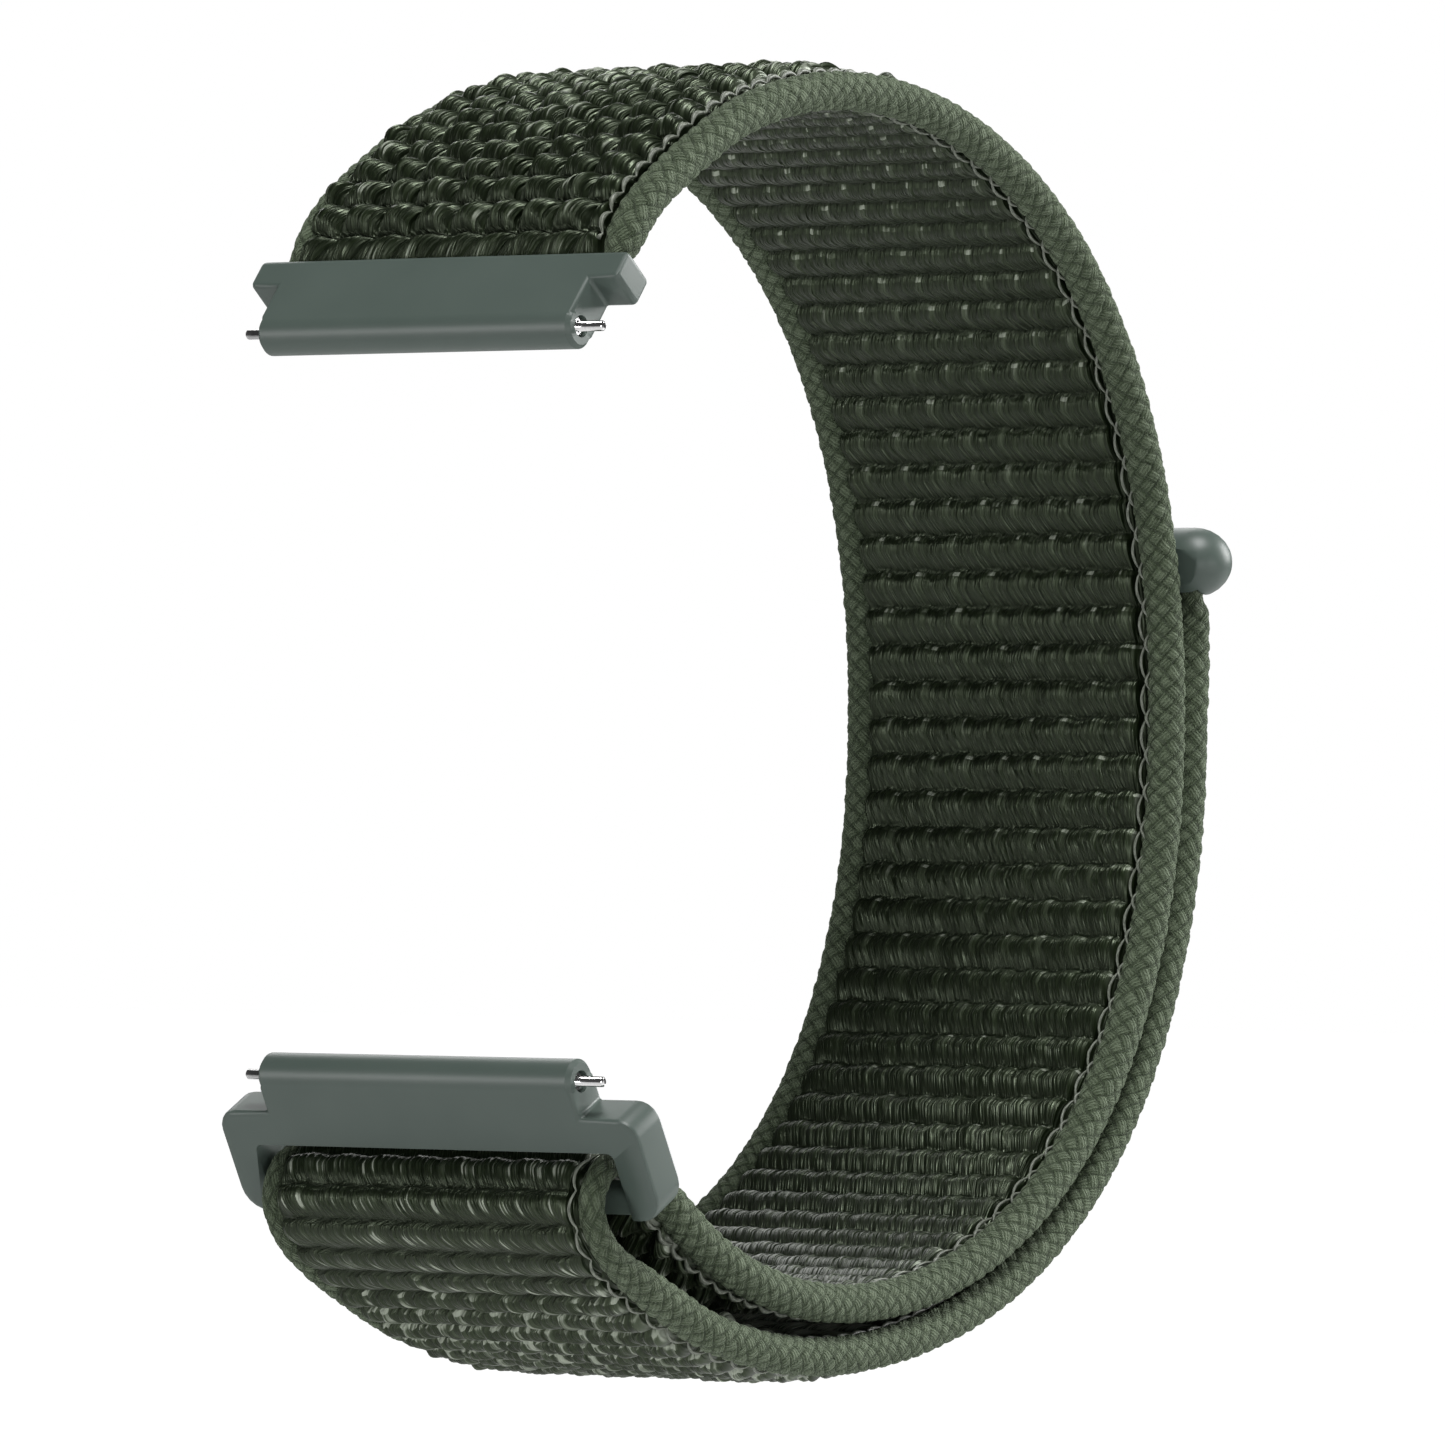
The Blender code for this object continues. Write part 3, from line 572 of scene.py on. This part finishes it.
def face_heights(distance):
    """For each face: the height under the loops, and how far the loops rise."""
    free = openness(distance)
    base = squeezed_base + (free_base - squeezed_base) * free
    uncovered = 1 - eased(distance, covered_at - 2, covered_at)
    in_gap = eased(distance, *gap_opens) * (1 - eased(distance, *gap_closes))
    outer_rise = least_rise + free * (covered_rise + uncovered_rise * np.maximum(uncovered, in_gap))
    on_tail = eased(distance, front_at, tail_at)
    inner_rise = least_rise + free * (skin_rise_free + skin_rise_on_tail * on_tail)
    inner_rise = inner_rise + skin_rise_past_ring * eased(distance, *past_bar) * (1 - free)
    return {outer: (base, outer_rise), inner: (base, inner_rise)}


rises = [rise for base, rise in face_heights(40.0).values()]
print("rise of the loops, mm:", [round(float(rise), 2) for rise in rises])

# %% Points of one face
tuck_on_far_side = 0.9
tuck_on_near_side = {outer: 0.45, inner: 0.30}
tuck_past_edge = 0.15
tucked_height = 0.12
drift_fades = (1.2, 0.2)
squeezed_wider = 0.03
hidden_steps = (0.08, 0.16)
hidden_edge = 9.36


def weave_face(distance, y, edge, face):
    """Height, place across, UV, tone with painted light and shade, and shine for the points of one
    face.
    """
    base, rise = face_heights(distance)[face]
    relief, tone, shine, drift, uv = loop_relief(distance, y, edge, face)
    tuck = np.where(y > 0, tuck_on_far_side, tuck_on_near_side[face])
    tucked = eased(np.abs(y), edge - tuck, edge + tuck_past_edge)
    height = (base + rise * relief) * (1 - tucked) + tucked_height * tucked
    inside = 1 - eased(np.abs(y), edge - drift_fades[0], edge - drift_fades[1])
    wider = 1 + squeezed_wider * (1 - openness(distance)) + np.where(y > 0, far_reach / edge, 0)
    return height, y * wider - inside * drift, uv, tone, shine


def across_places(loops):
    """Half the width of one face, and places across it, with its edge tucked under the cords."""
    edge = loops * loop_width / 2
    shown_places = np.linspace(-edge, edge, loops * columns_per_loop + 1)
    hidden_places = np.array([edge + step for step in hidden_steps] + [hidden_edge])
    return edge, np.concatenate([-hidden_places[::-1], shown_places, hidden_places])


print("columns of the outer face:", len(across_places(loops_outside)[1]))


# %% One length of the weave
def weave_piece(name, low, high, per_roll=rows_per_roll):
    """One length of the weave as a closed, flat tube."""
    along = places_along(low, high, max(2, round((high - low) / row_pitch * per_roll)))
    edge_out, y_out = across_places(loops_outside)
    edge_in, y_in = across_places(loops_inside)
    parts = []
    round_it = ((y_out, edge_out, outer), (y_in[::-1], edge_in, inner), (y_out[:1], edge_out, outer))
    for y, edge, face in round_it:
        distance, y_grid = np.meshgrid(along, y, indexing="ij")
        height, y_place, uv, tone, shine = weave_face(distance, y_grid, edge, face)
        parts.append((distance, y_place, height if face == outer else -height, uv, tone, shine))
    joined = (np.concatenate(part, axis=1) for part in zip(*parts))
    distance, y_place, height, uv, tone, shine = joined
    ends = (slice(1), slice(-1, None))
    middles = [placed(distance[rows], y_place[rows], 0 * height[rows]) for rows in ends]
    points = closed_ends(placed(distance, y_place, height), middles)
    made = rolled_grid(name, points, closed_ends(uv), tone=closed_ends(tone), shine=closed_ends(shine))
    made.data.materials.append(weave_finish)
    return made


print("rows to a roll:", rows_per_roll, "and in the ring:", rows_per_fold_roll)

# %% [markdown]
# ## Finish of the weave
#
# The yarn is dark green nylon: bundles of straight, shiny filaments. The UV map counts loops across
# and rolls along, so the material knows which strand it is on. A noise stretched along the strands
# makes the filaments, and a random number for each strand says how brightly it catches the light, as a
# painted highlight in its colour, where the mesh's shine field allows it. The sheen is the soft light
# that brushed filaments give at a low angle. First come a few helpers that all materials share.


# %% Helpers for materials
def finish(name, roughness, metallic=0.0):
    """A new material, and its parts."""
    made = bpy.data.materials.new(name)
    made.use_nodes = True
    shader = made.node_tree.nodes["Principled BSDF"]
    shader.inputs["Roughness"].default_value = roughness
    shader.inputs["Metallic"].default_value = metallic
    return made, made.node_tree.nodes, made.node_tree.links, shader


def stretched_noise(nodes, links, source, scale, noise_scale, detail=2.0):
    """Noise that is drawn out by the scale of a Mapping node."""
    mapping = nodes.new("ShaderNodeMapping")
    mapping.inputs["Scale"].default_value = scale
    noise = nodes.new("ShaderNodeTexNoise")
    noise.inputs["Scale"].default_value = noise_scale
    noise.inputs["Detail"].default_value = detail
    links.new(source, mapping.inputs["Vector"])
    links.new(mapping.outputs["Vector"], noise.inputs["Vector"])
    return noise.outputs["Fac"]


def coloured(nodes, links, factor, shader, stops):
    """Gives the shader a colour that follows the factor through a ramp's stops."""
    ramp = nodes.new("ShaderNodeValToRGB")
    elements = ramp.color_ramp.elements
    while len(elements) < len(stops):
        elements.new(0.5)
    for element, (position, colour) in zip(elements, stops):
        element.position = position
        element.color = (*colour, 1)
    links.new(factor, ramp.inputs[0])
    links.new(ramp.outputs["Color"], shader.inputs["Base Color"])


def bump(nodes, links, height, shader, strength, depth):
    """A bump from a height, with its depth in metres."""
    made = nodes.new("ShaderNodeBump")
    made.inputs["Strength"].default_value = strength
    made.inputs["Distance"].default_value = depth
    links.new(height, made.inputs["Height"])
    links.new(made.outputs["Normal"], shader.inputs["Normal"])


print("helpers for materials: finish, stretched_noise, coloured, bump")


# %% Numbers inside a material
def worked_out(nodes, links, operation, *inputs):
    """The output of a Math node whose inputs are numbers or other nodes' outputs."""
    made = nodes.new("ShaderNodeMath")
    made.operation = operation
    for socket, value in zip(made.inputs, inputs):
        if isinstance(value, (int, float)):
            socket.default_value = value
        else:
            links.new(value, socket)
    return made.outputs[0]


def field(nodes, name):
    """A number that the mesh carries at each point."""
    made = nodes.new("ShaderNodeAttribute")
    made.attribute_name = name
    return made.outputs["Fac"]


print("helpers for numbers: worked_out, field")

# %% Filaments, and the chance of each strand
filament_stretch = (2.7, 0.25, 1.0)
filament_contrast, filament_cut = 5.0, -2.05
filament_depth = 0.30 * mm
strands_per_loop = 2.0
chance_power = 1.4
weave_finish, nodes, links, shader = finish("woven_loop_yarn", 0.32)
uv_map = nodes.new("ShaderNodeUVMap").outputs["UV"]
filaments = stretched_noise(nodes, links, uv_map, filament_stretch, 1.0)
fine = worked_out(nodes, links, "MULTIPLY_ADD", filaments, filament_contrast, filament_cut)
fine.node.use_clamp = True
uv_parts = nodes.new("ShaderNodeSeparateXYZ")
links.new(uv_map, uv_parts.inputs[0])
loops, rolls = uv_parts.outputs["X"], uv_parts.outputs["Y"]
one_strand = nodes.new("ShaderNodeCombineXYZ")
strands = worked_out(nodes, links, "MULTIPLY", loops, strands_per_loop)
links.new(worked_out(nodes, links, "FLOOR", strands), one_strand.inputs["X"])
links.new(worked_out(nodes, links, "FLOOR", rolls), one_strand.inputs["Y"])
white_noise = nodes.new("ShaderNodeTexWhiteNoise")
links.new(one_strand.outputs[0], white_noise.inputs["Vector"])
chance = worked_out(nodes, links, "POWER", white_noise.outputs["Value"], chance_power)
print("strands across the outer face:", round(loops_outside * strands_per_loop))

# %% [markdown]
# Two painted highlights make a strand pale. A glint is painted light on the filaments, where the shine
# field allows it. A top glint is painted light at the start of a loop on the inner face, where the top
# of each roll catches the light; the tail turns that face outwards. Both are added to the mesh's tone,
# and a ramp turns the sum into a colour, from nearly black to pale grey.

# %% Tone and colour of the weave
glint_least, glint_gain = 0.05, 0.8
painted_top_glint_place, painted_top_glint_half, painted_top_glint_gain = 0.075, 0.045, 0.55
inner_face_from = rolls_between_faces * inner - 50.0
filament_gain, tone_lift = 0.30, 0.08
glint = worked_out(nodes, links, "MULTIPLY", chance, field(nodes, "shine"))
glint = worked_out(nodes, links, "MULTIPLY", glint, worked_out(nodes, links, "ADD", fine, glint_least))
part_of_roll = worked_out(nodes, links, "FRACT", rolls)
painted_top_glint = worked_out(nodes, links, "COMPARE", part_of_roll, painted_top_glint_place, painted_top_glint_half)
on_inner_face = worked_out(nodes, links, "GREATER_THAN", rolls, inner_face_from)
painted_top_glint = worked_out(nodes, links, "MULTIPLY", painted_top_glint, on_inner_face)
painted_top_glint = worked_out(nodes, links, "MULTIPLY", painted_top_glint, chance)
# The filament lines are paler, partly as the yarn's own lines and partly as painted glints; the two
# glint terms below are painted highlights.
tone = worked_out(nodes, links, "MULTIPLY_ADD", fine, filament_gain, field(nodes, "tone"))
tone = worked_out(nodes, links, "ADD", tone, tone_lift)
tone = worked_out(nodes, links, "MULTIPLY_ADD", glint, glint_gain, tone)
tone = worked_out(nodes, links, "MULTIPLY_ADD", painted_top_glint, painted_top_glint_gain, tone)
coloured(nodes, links, tone, shader, [
    (0.12, (0.0028, 0.0054, 0.0016)), (0.45, (0.0100, 0.0160, 0.0062)),
    (0.74, (0.048, 0.060, 0.039)), (1.0, (0.330, 0.360, 0.300)),
])
shader.inputs["Specular IOR Level"].default_value = 0.50
shader.inputs["Specular Tint"].default_value = (0.84, 1.0, 0.70, 1)
shader.inputs["Sheen Weight"].default_value = 0.06
shader.inputs["Sheen Roughness"].default_value = 0.25
shader.inputs["Sheen Tint"].default_value = (0.88, 1.0, 0.78, 1)
bump(nodes, links, filaments, shader, 1.0, filament_depth)
print("materials:", weave_finish.name)

# %% Lay the weave
cuts = [0.35, 36.0, 72.0, 108.0, 142.0, 156.0]
strap_pieces = []
for number, (low, high) in enumerate(zip(cuts, cuts[1:]), start=1):
    per_roll = rows_per_fold_roll if high == cuts[-1] else rows_per_roll
    strap_pieces.append(weave_piece("band_weave_%d" % number, low, high, per_roll))
for piece in strap_pieces:
    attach(piece, "strap")
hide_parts("band_web")
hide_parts("fold_web")
print("weave on the strap:", [len(piece.data.polygons) for piece in strap_pieces])

# %% [markdown]
# ## The tail's weave
#
# The tail peels off in three lengths, and real fabric bends between them instead of breaking. The
# weave is cut in the middle of each length, where it doesn't bend. The three pieces over the joints
# keep the place they are laid in, and the last piece moves with the tail's end.


def bend_over(piece):
    """Bakes the piece's placement into its mesh; it is attached to no body."""
    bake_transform(piece)


joints_at = [tail_at + tail_span * number for number in range(3)]
tail_cuts = [cuts[-1]] + middle_of_tail + [entry_at]


def follow_tail(piece, number):
    """Piece 0, 1 or 2 lies over one of the tail's joints and keeps its place, and piece 3 moves with
    the tail's end.
    """
    if number < len(joints_at):
        bend_over(piece)
    else:
        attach(piece, "tail_end")


tail_weave = []
for number, (low, high) in enumerate(zip(tail_cuts, tail_cuts[1:])):
    piece = weave_piece("tail_weave_%d" % (number + 1), low, high)
    tail_weave.append(piece)
    follow_tail(piece, number)
for piece, node in zip(tail_weave, ("tail_1_web", "tail_2_web", "tail_3_web")):
    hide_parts(node)
print("weave on the tail:", [len(piece.data.polygons) for piece in tail_weave])

# %% [markdown]
# ## Braided cords
#
# Each edge of the band is a round cord of twelve strands, half of which wind one way and half
# the other way, over and under each other. So their crossings make a lattice of diamonds on the
# cord, and each diamond shows the one strand that is on top there, as a small rounded bump.

# %% Braid
braid_pitch = 1.0
columns_round = 12
sides_round = 56
cord_step = 0.10
braid_waver = 0.22
least_bump, bump_spread = 0.72, 0.34


def rounded(place, power):
    """1 in the middle of a strand and 0 at its sides, where the place is -0.5 or 0.5."""
    return np.clip(1 - np.abs(2 * place) ** power, 0, 1) ** 0.5


def braid_height(distance, angle):
    """Height of the braid's bumps from 0 to 1, and the place across the strand on top."""
    turn = angle / (2 * np.pi) * columns_round
    waver = braid_waver * np.sin(3.1 * distance + 2 * angle) * np.sin(1.3 * distance - angle)
    climb = distance / braid_pitch * 2 + waver
    one_way, other_way = (climb + turn) / 2, (climb - turn) / 2
    first, second = np.floor(one_way + 0.5), np.floor(other_way + 0.5)
    on_top = (first - second) % 2 == 0
    beside = np.where(on_top, one_way - first, other_way - second)
    lengthwise = np.where(on_top, other_way - second, one_way - first)
    number = (first - second) % columns_round
    own = least_bump + bump_spread * speckle(number, first + second, 21)
    return own * rounded(beside, 2.2) * rounded(lengthwise, 3.4), beside


print("a bump of the braid:", round(float(braid_height(np.array(50.0), np.array(0.0))[0]), 2))

# %% One length of a cord
fuzz_rise = 0.22
under_braid = 0.11
braid_rise = 0.15
squeezed_share = 0.6


def cord_piece(name, side, low, high):
    """One length of an edge cord as a closed tube."""
    along = places_along(low, high, max(4, round((high - low) / cord_step)))
    angles = np.linspace(0, 2 * np.pi, sides_round + 1)
    distance, angle = np.meshgrid(along, angles, indexing="ij")
    relief, strand = braid_height(distance, (angle * side) % (2 * np.pi))
    fuzz = speckle(np.round(distance / cord_step), np.round(angle * 8) % 50, 4) - 0.5
    relief = relief + fuzz_rise * fuzz
    relief[:, -1] = relief[:, 0]
    free = openness(distance)
    share = squeezed_share + (1 - squeezed_share) * free
    radius = cord_radius_at(distance) - under_braid + braid_rise * relief * share
    centre = np.full_like(radius, -cord_centre)
    if side > 0:
        centre = cord_centre - (cord_centre - far_cord_centre) * free
    rows = placed(distance, centre + radius * np.cos(angle), radius * np.sin(angle))
    middle = [placed(distance[k], centre[k], 0 * radius[k])[None] for k in (0, -1)]
    uv = np.stack([angle, distance], axis=-1) / uv_scale
    # The lower parts of the braid get a darker tone: painted shade.
    tone = np.clip(0.55 * relief, 0, 1)
    fields = {"tone": closed_ends(tone), "strand": closed_ends(strand)}
    made = rolled_grid(name, closed_ends(rows, middle), closed_ends(uv), **fields)
    made.data.materials.append(cord_finish)
    return made


print("rows to a millimetre of cord:", round(1 / cord_step))

# %% [markdown]
# ## Finish of the cords
#
# The cord's yarn is matt and a little lighter than the weave. Each strand is a bundle of fine
# yarns, so a sine across the strand makes a few ridges, and a fine noise makes them fuzzy. The
# same height darkens the valleys, since little light gets into them.

# %% Cord material
ridges_in_strand = 26.0
ridge_size, ridge_tone = 0.16, 0.72
cord_finish, nodes, links, shader = finish("braided_edge_yarn", 0.75)
uv_map = nodes.new("ShaderNodeUVMap").outputs["UV"]
fuzz = stretched_noise(nodes, links, uv_map, (90.0, 90.0, 1.0), 1.0, 4.0)
across_strand = worked_out(nodes, links, "MULTIPLY", field(nodes, "strand"), ridges_in_strand)
ridges = worked_out(nodes, links, "SINE", across_strand)
rough_height = worked_out(nodes, links, "MULTIPLY_ADD", ridges, ridge_size, fuzz)
tone = worked_out(nodes, links, "MULTIPLY_ADD", rough_height, ridge_tone, field(nodes, "tone"))
coloured(nodes, links, tone, shader, [
    (0.2, (0.012, 0.021, 0.008)), (0.55, (0.044, 0.062, 0.033)), (0.95, (0.122, 0.152, 0.100)),
])
shader.inputs["Specular IOR Level"].default_value = 0.25
shader.inputs["Specular Tint"].default_value = (0.88, 1.0, 0.78, 1)
shader.inputs["Sheen Tint"].default_value = (0.85, 1.0, 0.76, 1)
shader.inputs["Sheen Weight"].default_value = 0.15
shader.inputs["Sheen Roughness"].default_value = 0.5
bump(nodes, links, rough_height, shader, 1.0, 0.20 * mm)
print("materials:", cord_finish.name)

# %% Lay the cords
band_cord_cuts = [0.55, 80.0, cuts[-1]]
for end_name, side in (("near", -1), ("far", 1)):
    for number, (low, high) in enumerate(zip(band_cord_cuts, band_cord_cuts[1:]), start=1):
        piece = cord_piece("band_braid_%s_%d" % (end_name, number), side, low, high)
        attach(piece, "strap")
    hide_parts("band_cord_" + end_name)
    for number, (low, high) in enumerate(zip(tail_cuts, tail_cuts[1:])):
        piece = cord_piece("tail_braid_%s_%d" % (end_name, number + 1), side, low, high)
        follow_tail(piece, number)
        if number < 3:
            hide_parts("tail_%d_cord_%s" % (number + 1, end_name))

# %% [markdown]
# ## Stitches
#
# A pale thread ties the weave to the cord. Along the near cord it shows on both faces as a chain
# of small arcs that bulge towards the weave, and on the inner face of the band a second lap adds
# short ticks between them. A thin tube along a path is enough, since the thread is less than a
# third of a millimetre thick. The thread along the far cord is left out. The weave reaches over
# that cord, and would hide about a third of it.

# %% Thread
thread_radius = 0.08
steps_per_stitch = 12
sides_of_thread = 6
over_cord = 0.10
stitches_per_roll = {outer: 1.4, inner: 1.0}
bow_fullness = (0.7, 3.0)
lap_apart = 0.30


def thread_path(face, along, lap):
    """Places of the thread on one face, and its radius. The second lap makes short ticks."""
    u = (length_on[face](along) / row_pitch * stitches_per_roll[face] + 0.5 * lap) % 1
    base, rise = face_heights(along)[face]
    bow = np.sin(np.pi * u) ** bow_fullness[lap]
    beside_cord = cord_centre - cord_radius_at(along) + over_cord
    if face == outer:
        y, height = beside_cord + 0.12 - 0.16 * bow, base + 0.36 + rise * 0.24 * bow
        radius = thread_radius * (0.4 + 1.5 * bow)
        return placed(along, -y, height), radius
    y, height = beside_cord + 0.14 + lap_apart * lap - 0.30 * bow, base + 0.22 + rise * 0.34 * bow
    return placed(along, -y, -height), thread_radius * (0.5 + 0.6 * bow)


def thread_piece(name, face, low, high, lap=0):
    """The stitches along the near edge of one face, as a thin closed tube."""
    count = max(4, round((high - low) / row_pitch * steps_per_stitch))
    along = np.linspace(low, high, count + 1)
    centres, radius = thread_path(face, along, lap)
    ahead = np.gradient(centres, axis=0)
    ahead /= np.linalg.norm(ahead, axis=1, keepdims=True)
    out = outward_at(along)
    up = np.stack([out[:, 0], 0 * out[:, 0], out[:, 1]], axis=1)
    beside = np.cross(ahead, up)
    beside /= np.linalg.norm(beside, axis=1, keepdims=True)
    up = np.cross(beside, ahead)
    turns = np.linspace(0, 2 * np.pi, sides_of_thread + 1)
    ring = np.cos(turns)[None, :, None] * beside[:, None] + np.sin(turns)[None, :, None] * up[:, None]
    rows = centres[:, None] + radius[:, None, None] * mm * ring
    middle = [np.repeat(centres[k][None, None], len(turns), axis=1) for k in (0, -1)]
    uv = np.stack(np.meshgrid(along, turns, indexing="ij"), axis=-1) / uv_scale
    made = rolled_grid(name, closed_ends(rows, middle), closed_ends(uv))
    made.data.materials.append(thread_finish)
    return made


print("thread's radius at 70 mm:", thread_path(outer, np.array([70.0]), 0)[1].round(3))

# %% Thread material
thread_finish, nodes, links, shader = finish("stitch_thread", 0.45)
uv_map = nodes.new("ShaderNodeUVMap").outputs["UV"]
twist = stretched_noise(nodes, links, uv_map, (30.0, 20.0, 1.0), 1.0)
coloured(nodes, links, twist, shader, [
    (0.35, (0.050, 0.060, 0.042)), (0.65, (0.240, 0.260, 0.215)),
])
bump(nodes, links, twist, shader, 0.4, 0.04 * mm)
print("materials:", thread_finish.name)

# %% Lay the stitches
first_stitch_at = 2.6
last_stitch_at = slot_at - 0.3
tail_thread_cuts = tail_cuts[:-1] + [last_stitch_at]
for face_name, face, lap in (("outer", outer, 0), ("inner", inner, 0), ("inner", inner, 1)):
    words = "near_%s_%s" % (face_name, "ab"[lap])
    band_end = cuts[-1] if lap == 0 else cuts[-2]
    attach(thread_piece("band_stitches_" + words, face, first_stitch_at, band_end, lap), "strap")
    if lap == 0:
        for number, (low, high) in enumerate(zip(tail_thread_cuts, tail_thread_cuts[1:])):
            piece = thread_piece("tail_stitches_%s_%d" % (words, number + 1), face, low, high)
            follow_tail(piece, number)
print("stitches end at, mm:", round(float(last_stitch_at), 1))

# %% [markdown]
# ## Hard pieces
#
# The connectors, the end bar and the spring bars already have their true shapes as solids, with
# their edges softened. A solid comes as loose triangles, which shade flat. So each is copied,
# its doubles are merged and it is shaded smooth, with its flat faces kept flat by weighted
# normals. The solid under it is left alone and hidden.

# %% Smooth copy of a solid
smooth_up_to = 32
spring_smooth_up_to = 60


def smooth_copy(node, name, body, material, angle=smooth_up_to):
    """A merged and smoothly shaded copy of a solid."""
    source = bpy.data.objects[node]
    made = source.copy()
    made.data = source.data.copy()
    for key in list(made.keys()):
        del made[key]
    made.name = made.data.name = name
    made.parent = None
    made.matrix_world = source.matrix_world.copy()
    scene.collection.objects.link(made)
    made.hide_render = made.hide_viewport = False
    made.data.materials.clear()
    made.data.materials.append(material)
    bpy.context.view_layer.objects.active = made
    made.select_set(True)
    bpy.ops.object.mode_set(mode="EDIT")
    bpy.ops.mesh.select_all(action="SELECT")
    bpy.ops.mesh.remove_doubles(threshold=merge_distance)
    bpy.ops.mesh.tris_convert_to_quads()
    bpy.ops.object.mode_set(mode="OBJECT")
    bpy.ops.object.shade_smooth_by_angle(angle=math.radians(angle))
    bpy.ops.object.modifier_add(type="WEIGHTED_NORMAL")
    made.modifiers[-1].keep_sharp = True
    bpy.ops.object.modifier_apply(modifier=made.modifiers[-1].name)
    made.select_set(False)
    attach(made, body)
    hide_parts(node)
    return made


print("edges are smoothed up to, degrees:", smooth_up_to, "and on springs:", spring_smooth_up_to)

# %% [markdown]
# The connectors and the end bar are one batch of satin, grey-green plastic. Its colour is nearly
# even: a slow noise shifts it a little, and a very fine one gives the skin of a spark-eroded mould.

# %% Moulded finish
unstretched = (1.0, 1.0, 1.0)
cloud_scale, grain_scale = 220.0, 9000.0
moulded, nodes, links, shader = finish("moulded_connector_finish", 0.44)
place = nodes.new("ShaderNodeTexCoord").outputs["Object"]
grain = stretched_noise(nodes, links, place, unstretched, grain_scale, 3.0)
cloud = stretched_noise(nodes, links, place, unstretched, cloud_scale)
coloured(nodes, links, cloud, shader, [(0.3, (0.066, 0.090, 0.078)), (0.7, (0.074, 0.099, 0.086))])
shader.inputs["Specular IOR Level"].default_value = 0.5
bump(nodes, links, grain, shader, 0.08, 0.01 * mm)
for node, body in (("upper_connector", "strap"), ("lower_connector", "ring"), ("end_bar", "tail_end")):
    smooth_copy(node, node + "_shell", body, moulded)
print("materials:", moulded.name)

# %% [markdown]
# ## Spring bars
#
# A spring bar is a thin chromed tube with a pin in each end that a spring pushes out. The pins show as
# bright dots beside the connectors. Chrome is a metal with hardly any roughness, and a fine noise
# along the pin breaks its reflections a little. Each spring is cut in two at its middle, and both
# halves move with their bar.

# %% Metals
chrome, nodes, links, shader = finish("spring_bar_chrome_finish", 0.12, 1.0)
place = nodes.new("ShaderNodeTexCoord").outputs["Object"]
turning = stretched_noise(nodes, links, place, (1.0, 8.0, 1.0), 2500.0)
coloured(nodes, links, turning, shader, [(0.3, (0.70, 0.70, 0.70)), (0.7, (0.86, 0.86, 0.86))])
bump(nodes, links, turning, shader, 0.08, 0.01 * mm)
steel, nodes, links, shader = finish("spring_steel_finish", 0.3, 1.0)
place = nodes.new("ShaderNodeTexCoord").outputs["Object"]
drawn = stretched_noise(nodes, links, place, unstretched, 4000.0)
coloured(nodes, links, drawn, shader, [(0.3, (0.36, 0.36, 0.37)), (0.7, (0.52, 0.52, 0.52))])
print("materials:", chrome.name, steel.name)


def spring_half(bar, end_name, side):
    """The half of a bar's spring on one side, cut at the middle, which moves with the bar."""
    node = bar + "_spring"
    half = smooth_copy(node, node + "_" + end_name, bar, steel, spring_smooth_up_to)
    bpy.context.view_layer.objects.active = half
    half.select_set(True)
    bpy.ops.object.mode_set(mode="EDIT")
    bpy.ops.mesh.select_all(action="SELECT")
    bpy.ops.mesh.bisect(plane_co=(0, 0, 0), plane_no=(0, side, 0), clear_inner=True, use_fill=True)
    bpy.ops.object.mode_set(mode="OBJECT")
    half.select_set(False)
    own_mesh(half)


for bar in ("upper_bar", "lower_bar"):
    smooth_copy(bar + "_barrel", bar + "_barrel_chrome", bar, chrome)
    for end_name, side in (("near", -1), ("far", 1)):
        spring_half(bar, end_name, side)
    for end_name in ("near", "far"):
        tip_body = bar.replace("bar", "tip") + "_" + end_name
        node, pin = bar + "_tip_" + end_name, bar + "_pin_" + end_name
        smooth_copy(node, pin, tip_body, chrome)

# %% [markdown]
# ## Hidden pieces
#
# The rod in the sewn hem and the hook patch under the tail hardly show, but the patch does when
# the tail is peeled back. A cell pattern gives it the bumps of its hooks, as a dark tape.

# %% Rod and hook patch
rod_finish, nodes, links, shader = finish("rod_plastic_finish", 0.5)
place = nodes.new("ShaderNodeTexCoord").outputs["Object"]
grain = stretched_noise(nodes, links, place, (1.0, 0.2, 1.0), 3000.0)
coloured(nodes, links, grain, shader, [(0.3, (0.045, 0.050, 0.045)), (0.7, (0.060, 0.066, 0.060))])
smooth_copy("start_rod", "start_rod_plastic", "strap", rod_finish)
hook_finish, nodes, links, shader = finish("hook_tape_finish", 0.6)
cells = nodes.new("ShaderNodeTexVoronoi")
cells.inputs["Scale"].default_value = 1800.0
links.new(nodes.new("ShaderNodeTexCoord").outputs["Object"], cells.inputs["Vector"])
from_hook = cells.outputs["Distance"]
coloured(nodes, links, from_hook, shader, [(0.0, (0.050, 0.060, 0.042)), (0.5, (0.012, 0.015, 0.010))])
bump(nodes, links, from_hook, shader, 1.0, 0.20 * mm)
smooth_copy("hook_patch", "hook_patch_tape", "tail_end", hook_finish)
print("materials:", rod_finish.name, hook_finish.name)
